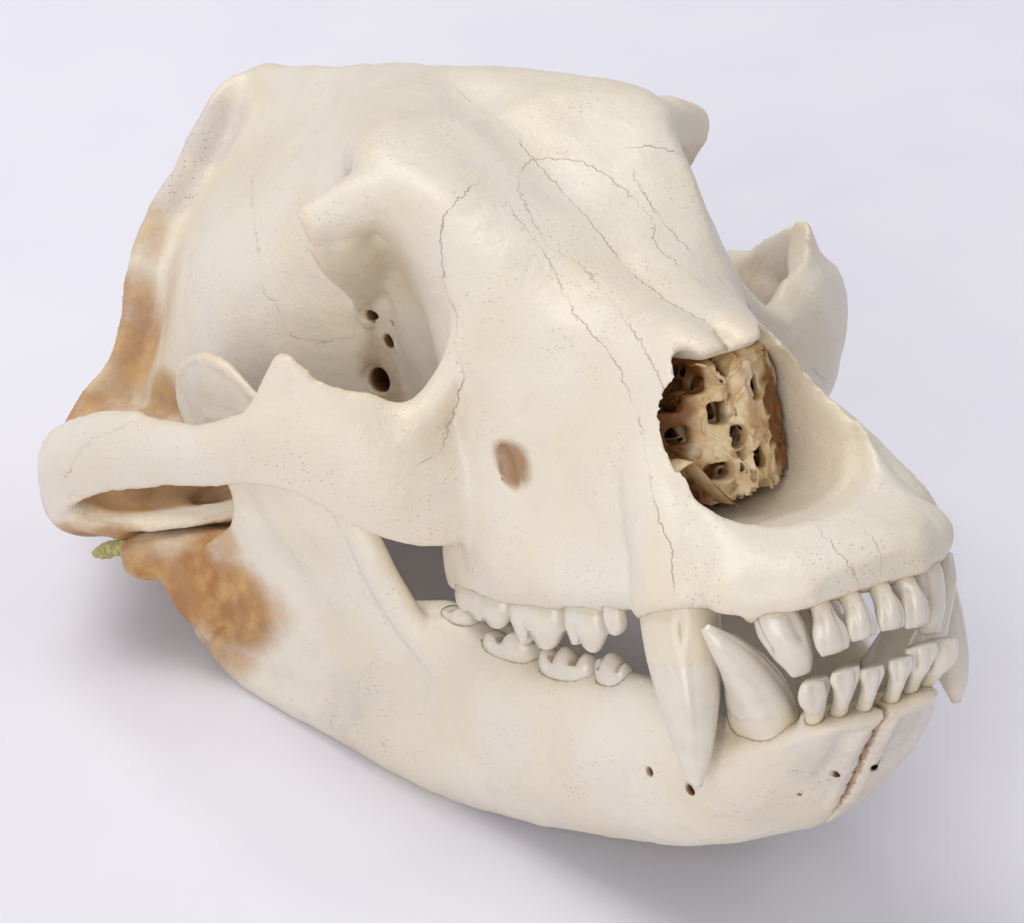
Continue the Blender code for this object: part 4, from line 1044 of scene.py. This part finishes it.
def newNode(tree, kind, **settings):
    made = tree.nodes.new(kind)
    for name, value in settings.items():
        setattr(made, name, value)
    return made


# Shader sums are written as Python: a wire is a node's output
class Wire:
    def __init__(self, tree, socket=None):
        self.tree = tree
        self.socket = socket

    def node(self, kind, sockets=(), output=0, **settings):
        # The node's settings are set first, then the values or links of its sockets
        made = newNode(self.tree, kind, **settings)
        for name, value in dict(sockets).items():
            if isinstance(value, Wire):
                self.tree.links.new(value.socket, made.inputs[name])
            else:
                made.inputs[name].default_value = value
        return Wire(self.tree, made.outputs[output])

    def sum(self, operation, first, second=0.0):
        return self.node("ShaderNodeMath", {0: first, 1: second}, operation=operation)

    def __add__(self, other):
        return self.sum("ADD", self, other)

    __radd__ = __add__

    def __sub__(self, other):
        return self.sum("SUBTRACT", self, other)

    def __rsub__(self, other):
        return self.sum("SUBTRACT", other, self)

    def __mul__(self, other):
        return self.sum("MULTIPLY", self, other)

    __rmul__ = __mul__

    def __abs__(self):
        return self.sum("ABSOLUTE", self)

    def step(self, low, high, smooth=True):
        kind = "SMOOTHSTEP" if smooth else "LINEAR"
        return self.node("ShaderNodeMapRange", {"Value": self, "From Min": low, "From Max": high},
                         interpolation_type=kind)

    def mix(self, first, second):
        # A colour between two, by this wire
        colours = [(*c, 1) if isinstance(c, tuple) else c for c in (first, second)]
        return self.node("ShaderNodeMix", {0: self, 6: colours[0], 7: colours[1]}, 2,
                         data_type="RGBA", clamp_factor=True)

    def noise(self, size, detail, seed):
        sockets = {"Vector": self, "W": seed, "Scale": 1 / size, "Detail": detail, "Roughness": 0.55}
        return self.node("ShaderNodeTexNoise", sockets, noise_dimensions="4D")

    def cells(self, size):
        return self.node("ShaderNodeTexVoronoi", {"Vector": self, "Scale": 1 / size}, feature="F1")


def newMaterial(name):
    material = bpy.data.materials.new(name)
    material.use_nodes = True
    tree = material.node_tree
    shader = tree.nodes["Principled BSDF"]
    start = Wire(tree)
    place = start.node("ShaderNodeTexCoord", output=3)
    millimetres = start.node("ShaderNodeVectorMath", {0: place, "Scale": 1000.0}, operation="SCALE")
    return material, tree, shader, millimetres


def attributeWires(wire, name):
    vector = wire.node("ShaderNodeAttribute", output=1, attribute_name=name)
    split = newNode(wire.tree, "ShaderNodeSeparateXYZ")
    wire.tree.links.new(vector.socket, split.inputs[0])
    return [Wire(wire.tree, split.outputs[k]) for k in range(3)]


def finishMaterial(tree, shader, colour, roughness, height, fixed=()):
    # Heights are in millimetres; fixed holds what is the same all over
    bump = Wire(tree).node("ShaderNodeBump", {"Height": height, "Distance": 0.001, "Strength": 1.0})
    for name, wire in (("Base Color", colour), ("Roughness", roughness), ("Normal", bump)):
        tree.links.new(wire.socket, shader.inputs[name])
    for name, value in dict(fixed).items():
        shader.inputs[name].default_value = value


boneLook = {
    "ivory": (0.785, 0.718, 0.605),
    "cream": (0.765, 0.678, 0.53),
    "edge": (0.78, 0.65, 0.47),
    "grey": (0.69, 0.645, 0.60),
    "stain": (0.37, 0.155, 0.033),
    "stainLight": (0.60, 0.36, 0.115),
    "mauve": (0.60, 0.54, 0.505),
    # Painted shade: brown in hollows, near black in the depths of round holes
    "hollowShade": (0.34, 0.185, 0.075),
    "deepShade": (0.06, 0.016, 0.008),
    "line": (0.44, 0.29, 0.15),
    # Sizes in mm
    "lineWidth": 0.24,
    "poreSize": 1.5,
    "noiseSizes": {"broad": 34, "patches": 9, "fine": 2.2, "grain": 0.55, "wander": 2.4, "jitter": 0.8,
                   "poreFields": 14, "gaps": 11},
    "strengths": {"grey": 0.35, "edge": 0.5, "stain": 0.94, "hollowShade": 0.92, "mauve": 0.7, "line": 0.62,
                  "pore": 0.4},
    "fixed": {"Coat Weight": 0.08, "Coat Roughness": 0.25},
}


def boneMaterial():
    material, tree, shader, mm = newMaterial("ivoryBone")
    sizes, strengths = boneLook["noiseSizes"], boneLook["strengths"]

    def tinted(colour, mask, name):
        return (mask * strengths[name]).mix(colour, boneLook[name])

    def waves(name, detail, seed):
        return mm.noise(sizes[name], detail, seed)

    broad = waves("broad", 1, 1.0)
    patches = waves("patches", 3, 2.0)
    fine = waves("fine", 2, 3.0)
    grain = waves("grain", 1, 4.0)
    colour = broad.step(0.35, 0.65).mix(boneLook["ivory"], boneLook["cream"])
    colour = tinted(colour, patches.step(0.52, 0.75), "grey")
    proud, wide, deepShade = attributeWires(mm, "form")
    colour = tinted(colour, (proud + (fine - 0.5) * 0.25).step(0.12, 0.5), "edge")
    stain, mauve, hollowShade = attributeWires(mm, "tint")
    mauveMask = (mauve + (patches - 0.5) * 0.8).step(0.2, 0.8)
    colour = tinted(colour, mauveMask, "mauve")
    stainMask = (stain + (patches - 0.5) * 0.45 + (fine - 0.5) * 0.2).step(0.15, 0.95)
    stainColour = patches.step(0.35, 0.75).mix(boneLook["stain"], boneLook["stainLight"])
    colour = (stainMask * strengths["stain"]).mix(colour, stainColour)
    # Painted shade in the hollows and in wide concave places
    hollowShade = hollowShade + (wide * -0.16).step(0.1, 0.9, False) * 0.3
    hollowShadeMask = (hollowShade + (patches - 0.5) * 0.7).step(0.25, 0.85)
    colour = tinted(colour, hollowShadeMask, "hollowShade")
    # Painted shade inside the round holes, darkest at their bottoms
    colour = deepShade.step(0.0, 0.5).mix(colour, boneLook["hollowShade"])
    colour = deepShade.step(0.35, 1.0).mix(colour, boneLook["deepShade"])
    # Sutures and cracks wander a little about their lines
    wander = (waves("wander", 1, 5.0) - 0.5) * 2.8 + (waves("jitter", 1, 6.0) - 0.5) * 1.3
    seam = None
    for setName in (*photoLines, "middleSeam"):
        away, near, strength = attributeWires(mm, setName)
        offLine = abs(away + wander * near).step(0, boneLook["lineWidth"])
        line = (1 - offLine) * near.step(0.25, 0.6) * strength
        seam = line if seam is None else seam.sum("MAXIMUM", seam, line)
    broken = seam * (0.25 + 0.75 * waves("gaps", 1, 8.0).step(0.4, 0.6))
    colour = tinted(colour, broken, "line")
    pores = 1 - mm.cells(boneLook["poreSize"]).step(0.05, 0.22)
    pores = pores * (waves("poreFields", 1, 7.0).step(0.44, 0.64) + mauveMask * 0.8)
    colour = (pores * strengths["pore"]).mix(colour, boneLook["line"])
    roughness = 0.34 + patches * 0.16 + pores * 0.2 + stainMask * 0.1
    height = patches * 0.35 + fine * 0.26 + grain * 0.1 - pores * 0.18 - broken * 0.3
    finishMaterial(tree, shader, colour, roughness, height, boneLook["fixed"])
    return material


enamelLook = {
    "white": (0.755, 0.695, 0.585),
    "grey": (0.715, 0.645, 0.535),
    "root": (0.75, 0.665, 0.51),
    "stain": (0.42, 0.27, 0.13),
    "neckStain": 0.14,
    "grooveDarkening": 0.55,
    "noiseSizes": {"patches": 5, "fine": 1.2},    # mm
    "fixed": {"Subsurface Weight": 0.15, "Subsurface Scale": 0.003, "Coat Weight": 0.35,
              "Coat Roughness": 0.1},
}


def enamelMaterial():
    material, tree, shader, mm = newMaterial("toothEnamel")
    rise = mm.node("ShaderNodeAttribute", output=2, attribute_name="rise")
    patches = mm.noise(enamelLook["noiseSizes"]["patches"], 3, seed=11.0)
    fine = mm.noise(enamelLook["noiseSizes"]["fine"], 3, seed=12.0)
    edge = (rise + (patches - 0.5) * 4).step(-0.6, 0.8)
    crown = patches.step(0.35, 0.7).mix(enamelLook["white"], enamelLook["grey"])
    colour = edge.mix(enamelLook["root"], crown)
    neck = (1 - abs(rise + (patches - 0.5) * 3).step(0.0, 1.6)) * fine.step(0.4, 0.7)
    colour = (neck * enamelLook["neckStain"]).mix(colour, enamelLook["stain"])
    proud = attributeWires(mm, "form")[0]
    # Concave places on the teeth are darker
    low = (proud * -1.0 + (fine - 0.5) * 0.06).step(0.02, 0.3, False)
    colour = (low * enamelLook["grooveDarkening"]).mix(colour, enamelLook["stain"])
    roughness = 0.42 - edge * 0.22 + fine * 0.08
    finishMaterial(tree, shader, colour, roughness, fine * 0.05 + edge * 0.15, enamelLook["fixed"])
    return material


laceLook = {
    "pale": (0.79, 0.64, 0.41),
    "tan": (0.67, 0.46, 0.23),
    # Painted shade for the depths of the nose
    "deepShade": (0.21, 0.08, 0.016),
    "noiseSizes": {"patches": 6, "fine": 1.4},    # mm
}


def laceMaterial():
    material, tree, shader, mm = newMaterial("laceBone")
    inward = mm.node("ShaderNodeAttribute", output=2, attribute_name="inward")
    patches = mm.noise(laceLook["noiseSizes"]["patches"], 3, seed=21.0)
    fine = mm.noise(laceLook["noiseSizes"]["fine"], 3, seed=22.0)
    colour = patches.step(0.4, 0.6).mix(laceLook["pale"], laceLook["tan"])
    wide = attributeWires(mm, "form")[1]
    # Painted shade: darker further in, in the shade spots and in wide hollows
    depth = inward + (wide * -0.5).step(0.05, 1.0, False) * 0.9 + (patches - 0.5) * 0.5
    colour = depth.step(0.1, 0.9).mix(colour, laceLook["deepShade"])
    roughness = 0.45 + patches * 0.2
    finishMaterial(tree, shader, colour, roughness, patches * 0.2 + fine * 0.1)
    return material


tissueLook = {"pale": (0.50, 0.47, 0.16), "dark": (0.30, 0.26, 0.10), "patchSize": 1.6}


def tissueMaterial():
    material, tree, shader, mm = newMaterial("driedTissue")
    patches = mm.noise(tissueLook["patchSize"], 3, seed=31.0)
    colour = patches.step(0.35, 0.65).mix(tissueLook["pale"], tissueLook["dark"])
    roughness = 0.55 + patches * 0.2
    finishMaterial(tree, shader, colour, roughness, patches * 0.4)
    return material


floorLook = {"cool": (0.80, 0.79, 0.86), "pale": (0.83, 0.82, 0.88), "roughness": 0.9, "patchSize": 60}


def floorMaterial():
    material, tree, shader, mm = newMaterial("paleFloor")
    patches = mm.noise(floorLook["patchSize"], 1, seed=41.0)
    colour = patches.step(0.2, 0.8).mix(floorLook["cool"], floorLook["pale"])
    tree.links.new(colour.socket, shader.inputs["Base Color"])
    shader.inputs["Roughness"].default_value = floorLook["roughness"]
    return material


# Scroll bones in the nose: a lace of thin curled walls, grown as a level set
lace = {
    "low": (-21, 46, 15),
    "high": (21, 112, 61),
    "resolution": 2.3,    # voxels for each mm
    "triangles": 170000,
    "wall": 0.33,         # how thick the walls are, as a level of the curl pattern
    "ragged": 0.8,
    # Noise that bends the curls and noise that tears them: (scale, detail), and how far each goes
    "bendNoise": (0.09, 2.0),
    "bend": 16.0,
    "tearNoise": (0.28, 2.0),
    "skinTear": 0.12,
    "holeTear": 0.5,
    "slope": 0.035,       # how fast the walls thicken behind the front
    "sharpness": 4.0,
    # Curls fill rounded boxes: size of the curls, middle in the left half and half-sizes, mm
    "curls": {
        "large": (13.5, (9, 88, 38), (11.5, 40, 21.5)),
        "small": (10.5, (7.5, 62, 26.5), (12.5, 15, 8.5)),
    },
    # Where the curls begin in the middle, and how fast they fall back to the sides
    "front": (47, 0.75),
    # A smooth skin wraps the large curls, and holes open through it: middle and half-sizes
    "skin": (0.10, 0.055),
    "holes": (
        ((-3.9, 52, 42.5), (3.2, 10, 3.2)), ((-0.2, 52, 35), (2.8, 10, 3)), ((5.4, 54, 28), (2.6, 9, 3)),
        ((-11.5, 54, 58), (4.4, 14, 3.6)), ((-9.5, 56, 52), (4.4, 14, 3.6)), ((-15.5, 54, 49), (4, 14, 4.6)),
        ((9, 52, 46), (2, 8, 3.4)), ((-14, 54, 38), (3, 9, 2.6)), ((4.5, 50, 20), (3, 6, 2.2)),
        ((-6.5, 52, 27), (3.4, 8, 2.4)),
    ),
    # A thin plate curls in at the bottom of the right side
    "plates": {
        "sideCurl": ((27, 50, 30, 6, 0.5), (22, 50, 32.6, 6, 0.5), (18.5, 50, 33.2, 6, 0.5),
                     (16.6, 50, 31, 6, 0.5), (13, 50, 25.4, 6, 0.5), (8, 50, 19.4, 6, 0.6)),
    },
    # Painted shade: the darkest depths, in the right side's corners and along the left: middle and
    # half-sizes
    "shade": (((-14, 58, 53), (11.5, 18, 14)), ((-18, 56, 41), (6.5, 14, 12)), ((-13, 54, 22), (6, 10, 5)),
              ((16, 70, 34), (5, 16, 18))),
    "shadeStart": (53, 5),      # y where the painted shade begins and how long it fades in, mm
    "depthStart": (50, 24),     # the same for the painted shade that darkens with depth
}


def laceTree(material):
    # Curls come from a folded wave pattern, torn by noise and kept inside rounded boxes
    tree = bpy.data.node_groups.new("laceOfBone", "GeometryNodeTree")
    tree.interface.new_socket("Geometry", in_out="OUTPUT", socket_type="NodeSocketGeometry")
    for name in ("Wall", "Ragged"):
        tree.interface.new_socket(name, in_out="INPUT", socket_type="NodeSocketFloat")
    given = newNode(tree, "NodeGroupInput")
    link = tree.links.new

    def mathNode(operation, first, second=None):
        made = newNode(tree, "ShaderNodeMath", operation=operation)
        for place, value in enumerate((first, second)):
            if value is None:
                continue
            if isinstance(value, (int, float)):
                made.inputs[place].default_value = value
            else:
                link(value, made.inputs[place])
        return made.outputs[0]

    def vectorNode(operation, first, second=None, scale=None):
        made = newNode(tree, "ShaderNodeVectorMath", operation=operation)
        link(first, made.inputs[0])
        if isinstance(second, tuple):
            made.inputs[1].default_value = second
        elif second is not None:
            link(second, made.inputs[1])
        if scale is not None:
            made.inputs["Scale"].default_value = scale
        return made

    def noiseNode(name):
        scale, detail = lace[name]
        made = newNode(tree, "ShaderNodeTexNoise", noise_dimensions="3D")
        link(place, made.inputs["Vector"])
        made.inputs["Scale"].default_value = scale
        made.inputs["Detail"].default_value = detail
        return made

    def insideBox(middle, radii):
        # 1 in the middle, 0 on the skin of a rounded box, less outside
        away = vectorNode("SUBTRACT", place, middle).outputs[0]
        scaled = vectorNode("DIVIDE", away, radii).outputs[0]
        squared = vectorNode("MULTIPLY", scaled, scaled).outputs[0]
        length = vectorNode("LENGTH", squared).outputs["Value"]
        return mathNode("SUBTRACT", 1.0, mathNode("SQRT", length))

    def bothSides(middle, radii):
        lobes = [insideBox((middle[0] * sign, *middle[1:]), radii) for sign in sides.values()]
        return mathNode("MAXIMUM", *lobes)

    place = newNode(tree, "GeometryNodeInputPosition").outputs[0]
    middleGrey = (0.5, 0.5, 0.5)
    centred = vectorNode("SUBTRACT", noiseNode("bendNoise").outputs["Color"], middleGrey).outputs[0]
    bend = vectorNode("SCALE", centred, scale=lace["bend"]).outputs[0]
    bent = vectorNode("ADD", place, bend).outputs[0]
    tear = mathNode("SUBTRACT", noiseNode("tearNoise").outputs["Fac"], 0.5)
    torn = mathNode("MULTIPLY", tear, given.outputs["Ragged"])
    start, fall = lace["front"]
    apart = newNode(tree, "ShaderNodeSeparateXYZ")
    link(place, apart.inputs[0])
    sideways = mathNode("MULTIPLY", mathNode("ABSOLUTE", apart.outputs["X"]), fall)
    behind = mathNode("SUBTRACT", apart.outputs["Y"], sideways)
    slope = mathNode("MULTIPLY", mathNode("SUBTRACT", behind, start), lace["slope"])
    density = None
    for name, (cell, middle, radii) in lace["curls"].items():
        wave = vectorNode("SCALE", bent, scale=2 * math.pi / cell).outputs[0]
        sines = vectorNode("SINE", wave).outputs[0]
        turned = newNode(tree, "ShaderNodeSeparateXYZ")
        link(vectorNode("COSINE", wave).outputs[0], turned.inputs[0])
        swapped = newNode(tree, "ShaderNodeCombineXYZ")
        for source, target in (("Y", "X"), ("Z", "Y"), ("X", "Z")):
            link(turned.outputs[source], swapped.inputs[target])
        curls = vectorNode("DOT_PRODUCT", sines, swapped.outputs[0]).outputs["Value"]
        ragged = mathNode("ABSOLUTE", mathNode("ADD", curls, torn))
        wall = mathNode("SUBTRACT", given.outputs["Wall"], ragged)
        inside = mathNode("MINIMUM", bothSides(middle, radii), slope)
        filled = mathNode("MINIMUM", wall, mathNode("MULTIPLY", inside, lace["sharpness"]))
        density = filled if density is None else mathNode("MAXIMUM", density, filled)
        if name == "large":
            depth, thickness = lace["skin"]
            uneven = mathNode("MULTIPLY", tear, lace["skinTear"])
            off = mathNode("ABSOLUTE", mathNode("SUBTRACT", mathNode("ADD", inside, uneven), depth))
            sheet = mathNode("MULTIPLY", mathNode("SUBTRACT", thickness, off), lace["sharpness"])
            density = mathNode("MAXIMUM", density, sheet)
    for middle, radii in lace["holes"]:
        hole = mathNode("ADD", insideBox(middle, radii), mathNode("MULTIPLY", tear, lace["holeTear"]))
        density = mathNode("MINIMUM", density, mathNode("MULTIPLY", hole, -1.0))
    cube = newNode(tree, "GeometryNodeVolumeCube")
    link(density, cube.inputs["Density"])
    cube.inputs["Background"].default_value = -1.0
    cube.inputs["Min"].default_value = lace["low"]
    cube.inputs["Max"].default_value = lace["high"]
    for axis, low, high in zip("XYZ", lace["low"], lace["high"]):
        cube.inputs["Resolution " + axis].default_value = int((high - low) * lace["resolution"])
    surface = newNode(tree, "GeometryNodeVolumeToMesh", resolution_mode="GRID")
    link(cube.outputs[0], surface.inputs["Volume"])
    surface.inputs["Threshold"].default_value = 0.0
    realise = newNode(tree, "GeometryNodeRealizeInstances")
    link(surface.outputs[0], realise.inputs[0])
    finish = newNode(tree, "GeometryNodeSetMaterial")
    link(realise.outputs[0], finish.inputs[0])
    finish.inputs["Material"].default_value = material
    link(finish.outputs[0], newNode(tree, "NodeGroupOutput").inputs[0])
    return tree


def buildLace(material):
    print("scroll bones")
    thing = newObject("scrollBones", bpy.data.meshes.new("scrollBones"))
    growing = thing.modifiers.new("lace", "NODES")
    growing.node_group = laceTree(material)
    for socket in growing.node_group.interface.items_tree:
        if socket.in_out == "INPUT":
            growing[socket.identifier] = lace[socket.name.lower()]
    settle(thing)
    thin(thing, lace["triangles"])
    modify(thing, "SMOOTH", iterations=2)
    settle(thing)
    mesh = bmesh.new()
    mesh.from_mesh(thing.data)
    for stations in lace["plates"].values():
        sweep(mesh, stations, sides["right"], around=24, steps=8)
    mesh.to_mesh(thing.data)
    mesh.free()
    # Painted shade, kept as a value: darker further back and in the shade spots
    points = places(thing)
    y = points[:, 1]
    inward = ease((y - lace["depthStart"][0]) / lace["depthStart"][1])
    shadeFade = ease((y - lace["shadeStart"][0]) / lace["shadeStart"][1])
    for middle, radii in lace["shade"]:
        away = np.linalg.norm((points - middle) / radii, axis=1)
        inward = np.maximum(inward, ease(1.6 - away) * shadeFade)
    keepValue(thing, "inward", inward)
    keepForm(thing)
    return thing


boxMargin = 0.0001    # m


def place(thing, material, *nodes):
    thing.data.transform(skullToGround)
    thing.data.update()
    thing.data.materials.clear()
    thing.data.materials.append(material)
    thing.data.polygons.foreach_set("use_smooth", np.ones(len(thing.data.polygons), dtype=bool))
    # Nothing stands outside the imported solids' box
    low, high = (np.array(corner) for corner in cadBox)
    moveTo(thing, np.clip(places(thing), low + boxMargin, high - boxMargin))
    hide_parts(*nodes)
    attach(thing, "root")


studio = {
    "lights": {
        # Place and size in metres, power, tone
        "key": ((-0.4, 0.8, 2.0), 1.4, 26, (1.0, 0.985, 0.96)),
        "front": ((-1.6, -1.5, 1.0), 1.5, 24, (1.0, 0.985, 0.965)),
        "right": ((1.9, 0.2, 1.3), 1.5, 6, (0.96, 0.97, 1.0)),
    },
    "aim": (0, 0, 0.08),
    "air": (0.90, 0.91, 1.0, 1),
    "airStrength": 0.40,
    "floorReach": 6,
}


def addStage():
    print("floor, lights and camera")
    mesh = bmesh.new()
    bmesh.ops.create_grid(mesh, x_segments=1, y_segments=1, size=studio["floorReach"])
    floor = objectFrom(mesh, "floor")
    floor.data.materials.append(floorMaterial())

    for name, (spot, size, power, tone) in studio["lights"].items():
        lamp = newObject(name + "Light", bpy.data.lights.new(name + "Light", "AREA"))
        lamp.data.energy = power
        lamp.data.size = size
        lamp.data.color = tone
        lamp.location = spot
        lamp.rotation_euler = (Vector(studio["aim"]) - Vector(spot)).to_track_quat("-Z", "Y").to_euler()
    world = bpy.data.worlds.new("studio")
    world.use_nodes = True
    air = world.node_tree.nodes["Background"]
    air.inputs["Color"].default_value = studio["air"]
    air.inputs["Strength"].default_value = studio["airStrength"]
    bpy.context.scene.world = world

    right, down = Vector(camera["right"]), Vector(camera["down"])
    view = Matrix((right, -down, -right.cross(down))).transposed().to_4x4()
    view.translation = Vector(camera["place"])
    seen = skullToGround @ view
    eye = newObject("camera", bpy.data.cameras.new("camera"))
    eye.data.sensor_width = camera["sensor"]
    eye.data.lens = camera["lens"]
    eye.location = seen.translation
    eye.rotation_euler = seen.to_3x3().normalized().to_euler()
    bpy.context.scene.camera = eye
    bpy.context.scene.view_settings.view_transform = "Standard"


bone = boneMaterial()
enamel = enamelMaterial()

craniumBone, craniumPits = buildCranium()
print("cranium: sockets and marks")
for side in sides:
    cutSockets(craniumBone, "upper", side)
markBone(craniumBone, craniumPits, cranium["triangles"])
place(craniumBone, bone, "cranium")

scrollBone = laceMaterial()
laceBone = buildLace(scrollBone)
place(laceBone, scrollBone, "cranium")

for side in sides:
    jawBone, jawPits = buildJawHalf(side)
    cutSockets(jawBone, "lower", side)
    markBone(jawBone, jawPits, jaw["triangles"])
    place(jawBone, bone, "mandible_" + side)
    print("teeth:", side)
    for name in (*frontTeeth, *cheekTeeth):
        tooth = buildTooth(name, side)
        place(tooth, enamel, name + "_" + side)

# Dried scrap of tissue that hangs out of the right jaw joint
scrap = {
    "path": ((-93, 272, 1.6, 0.9, 2), (-95, 277, 0.8, 0.8, 2.4), (-97, 284, -0.6, 0.7, 2.6),
             (-98.5, 292, -2.4, 0.6, 1.2)),
    "noiseLayers": ((1.5, 0.5),),
    "seed": 5,
}
print("tissue scrap")
mesh = bmesh.new()
sweep(mesh, scrap["path"], around=20, steps=8)
tissue = objectFrom(mesh, "tissueScrap")
roughen(tissue, scrap["noiseLayers"], scrap["seed"])
place(tissue, tissueMaterial(), "tissue_scrap")

addStage()
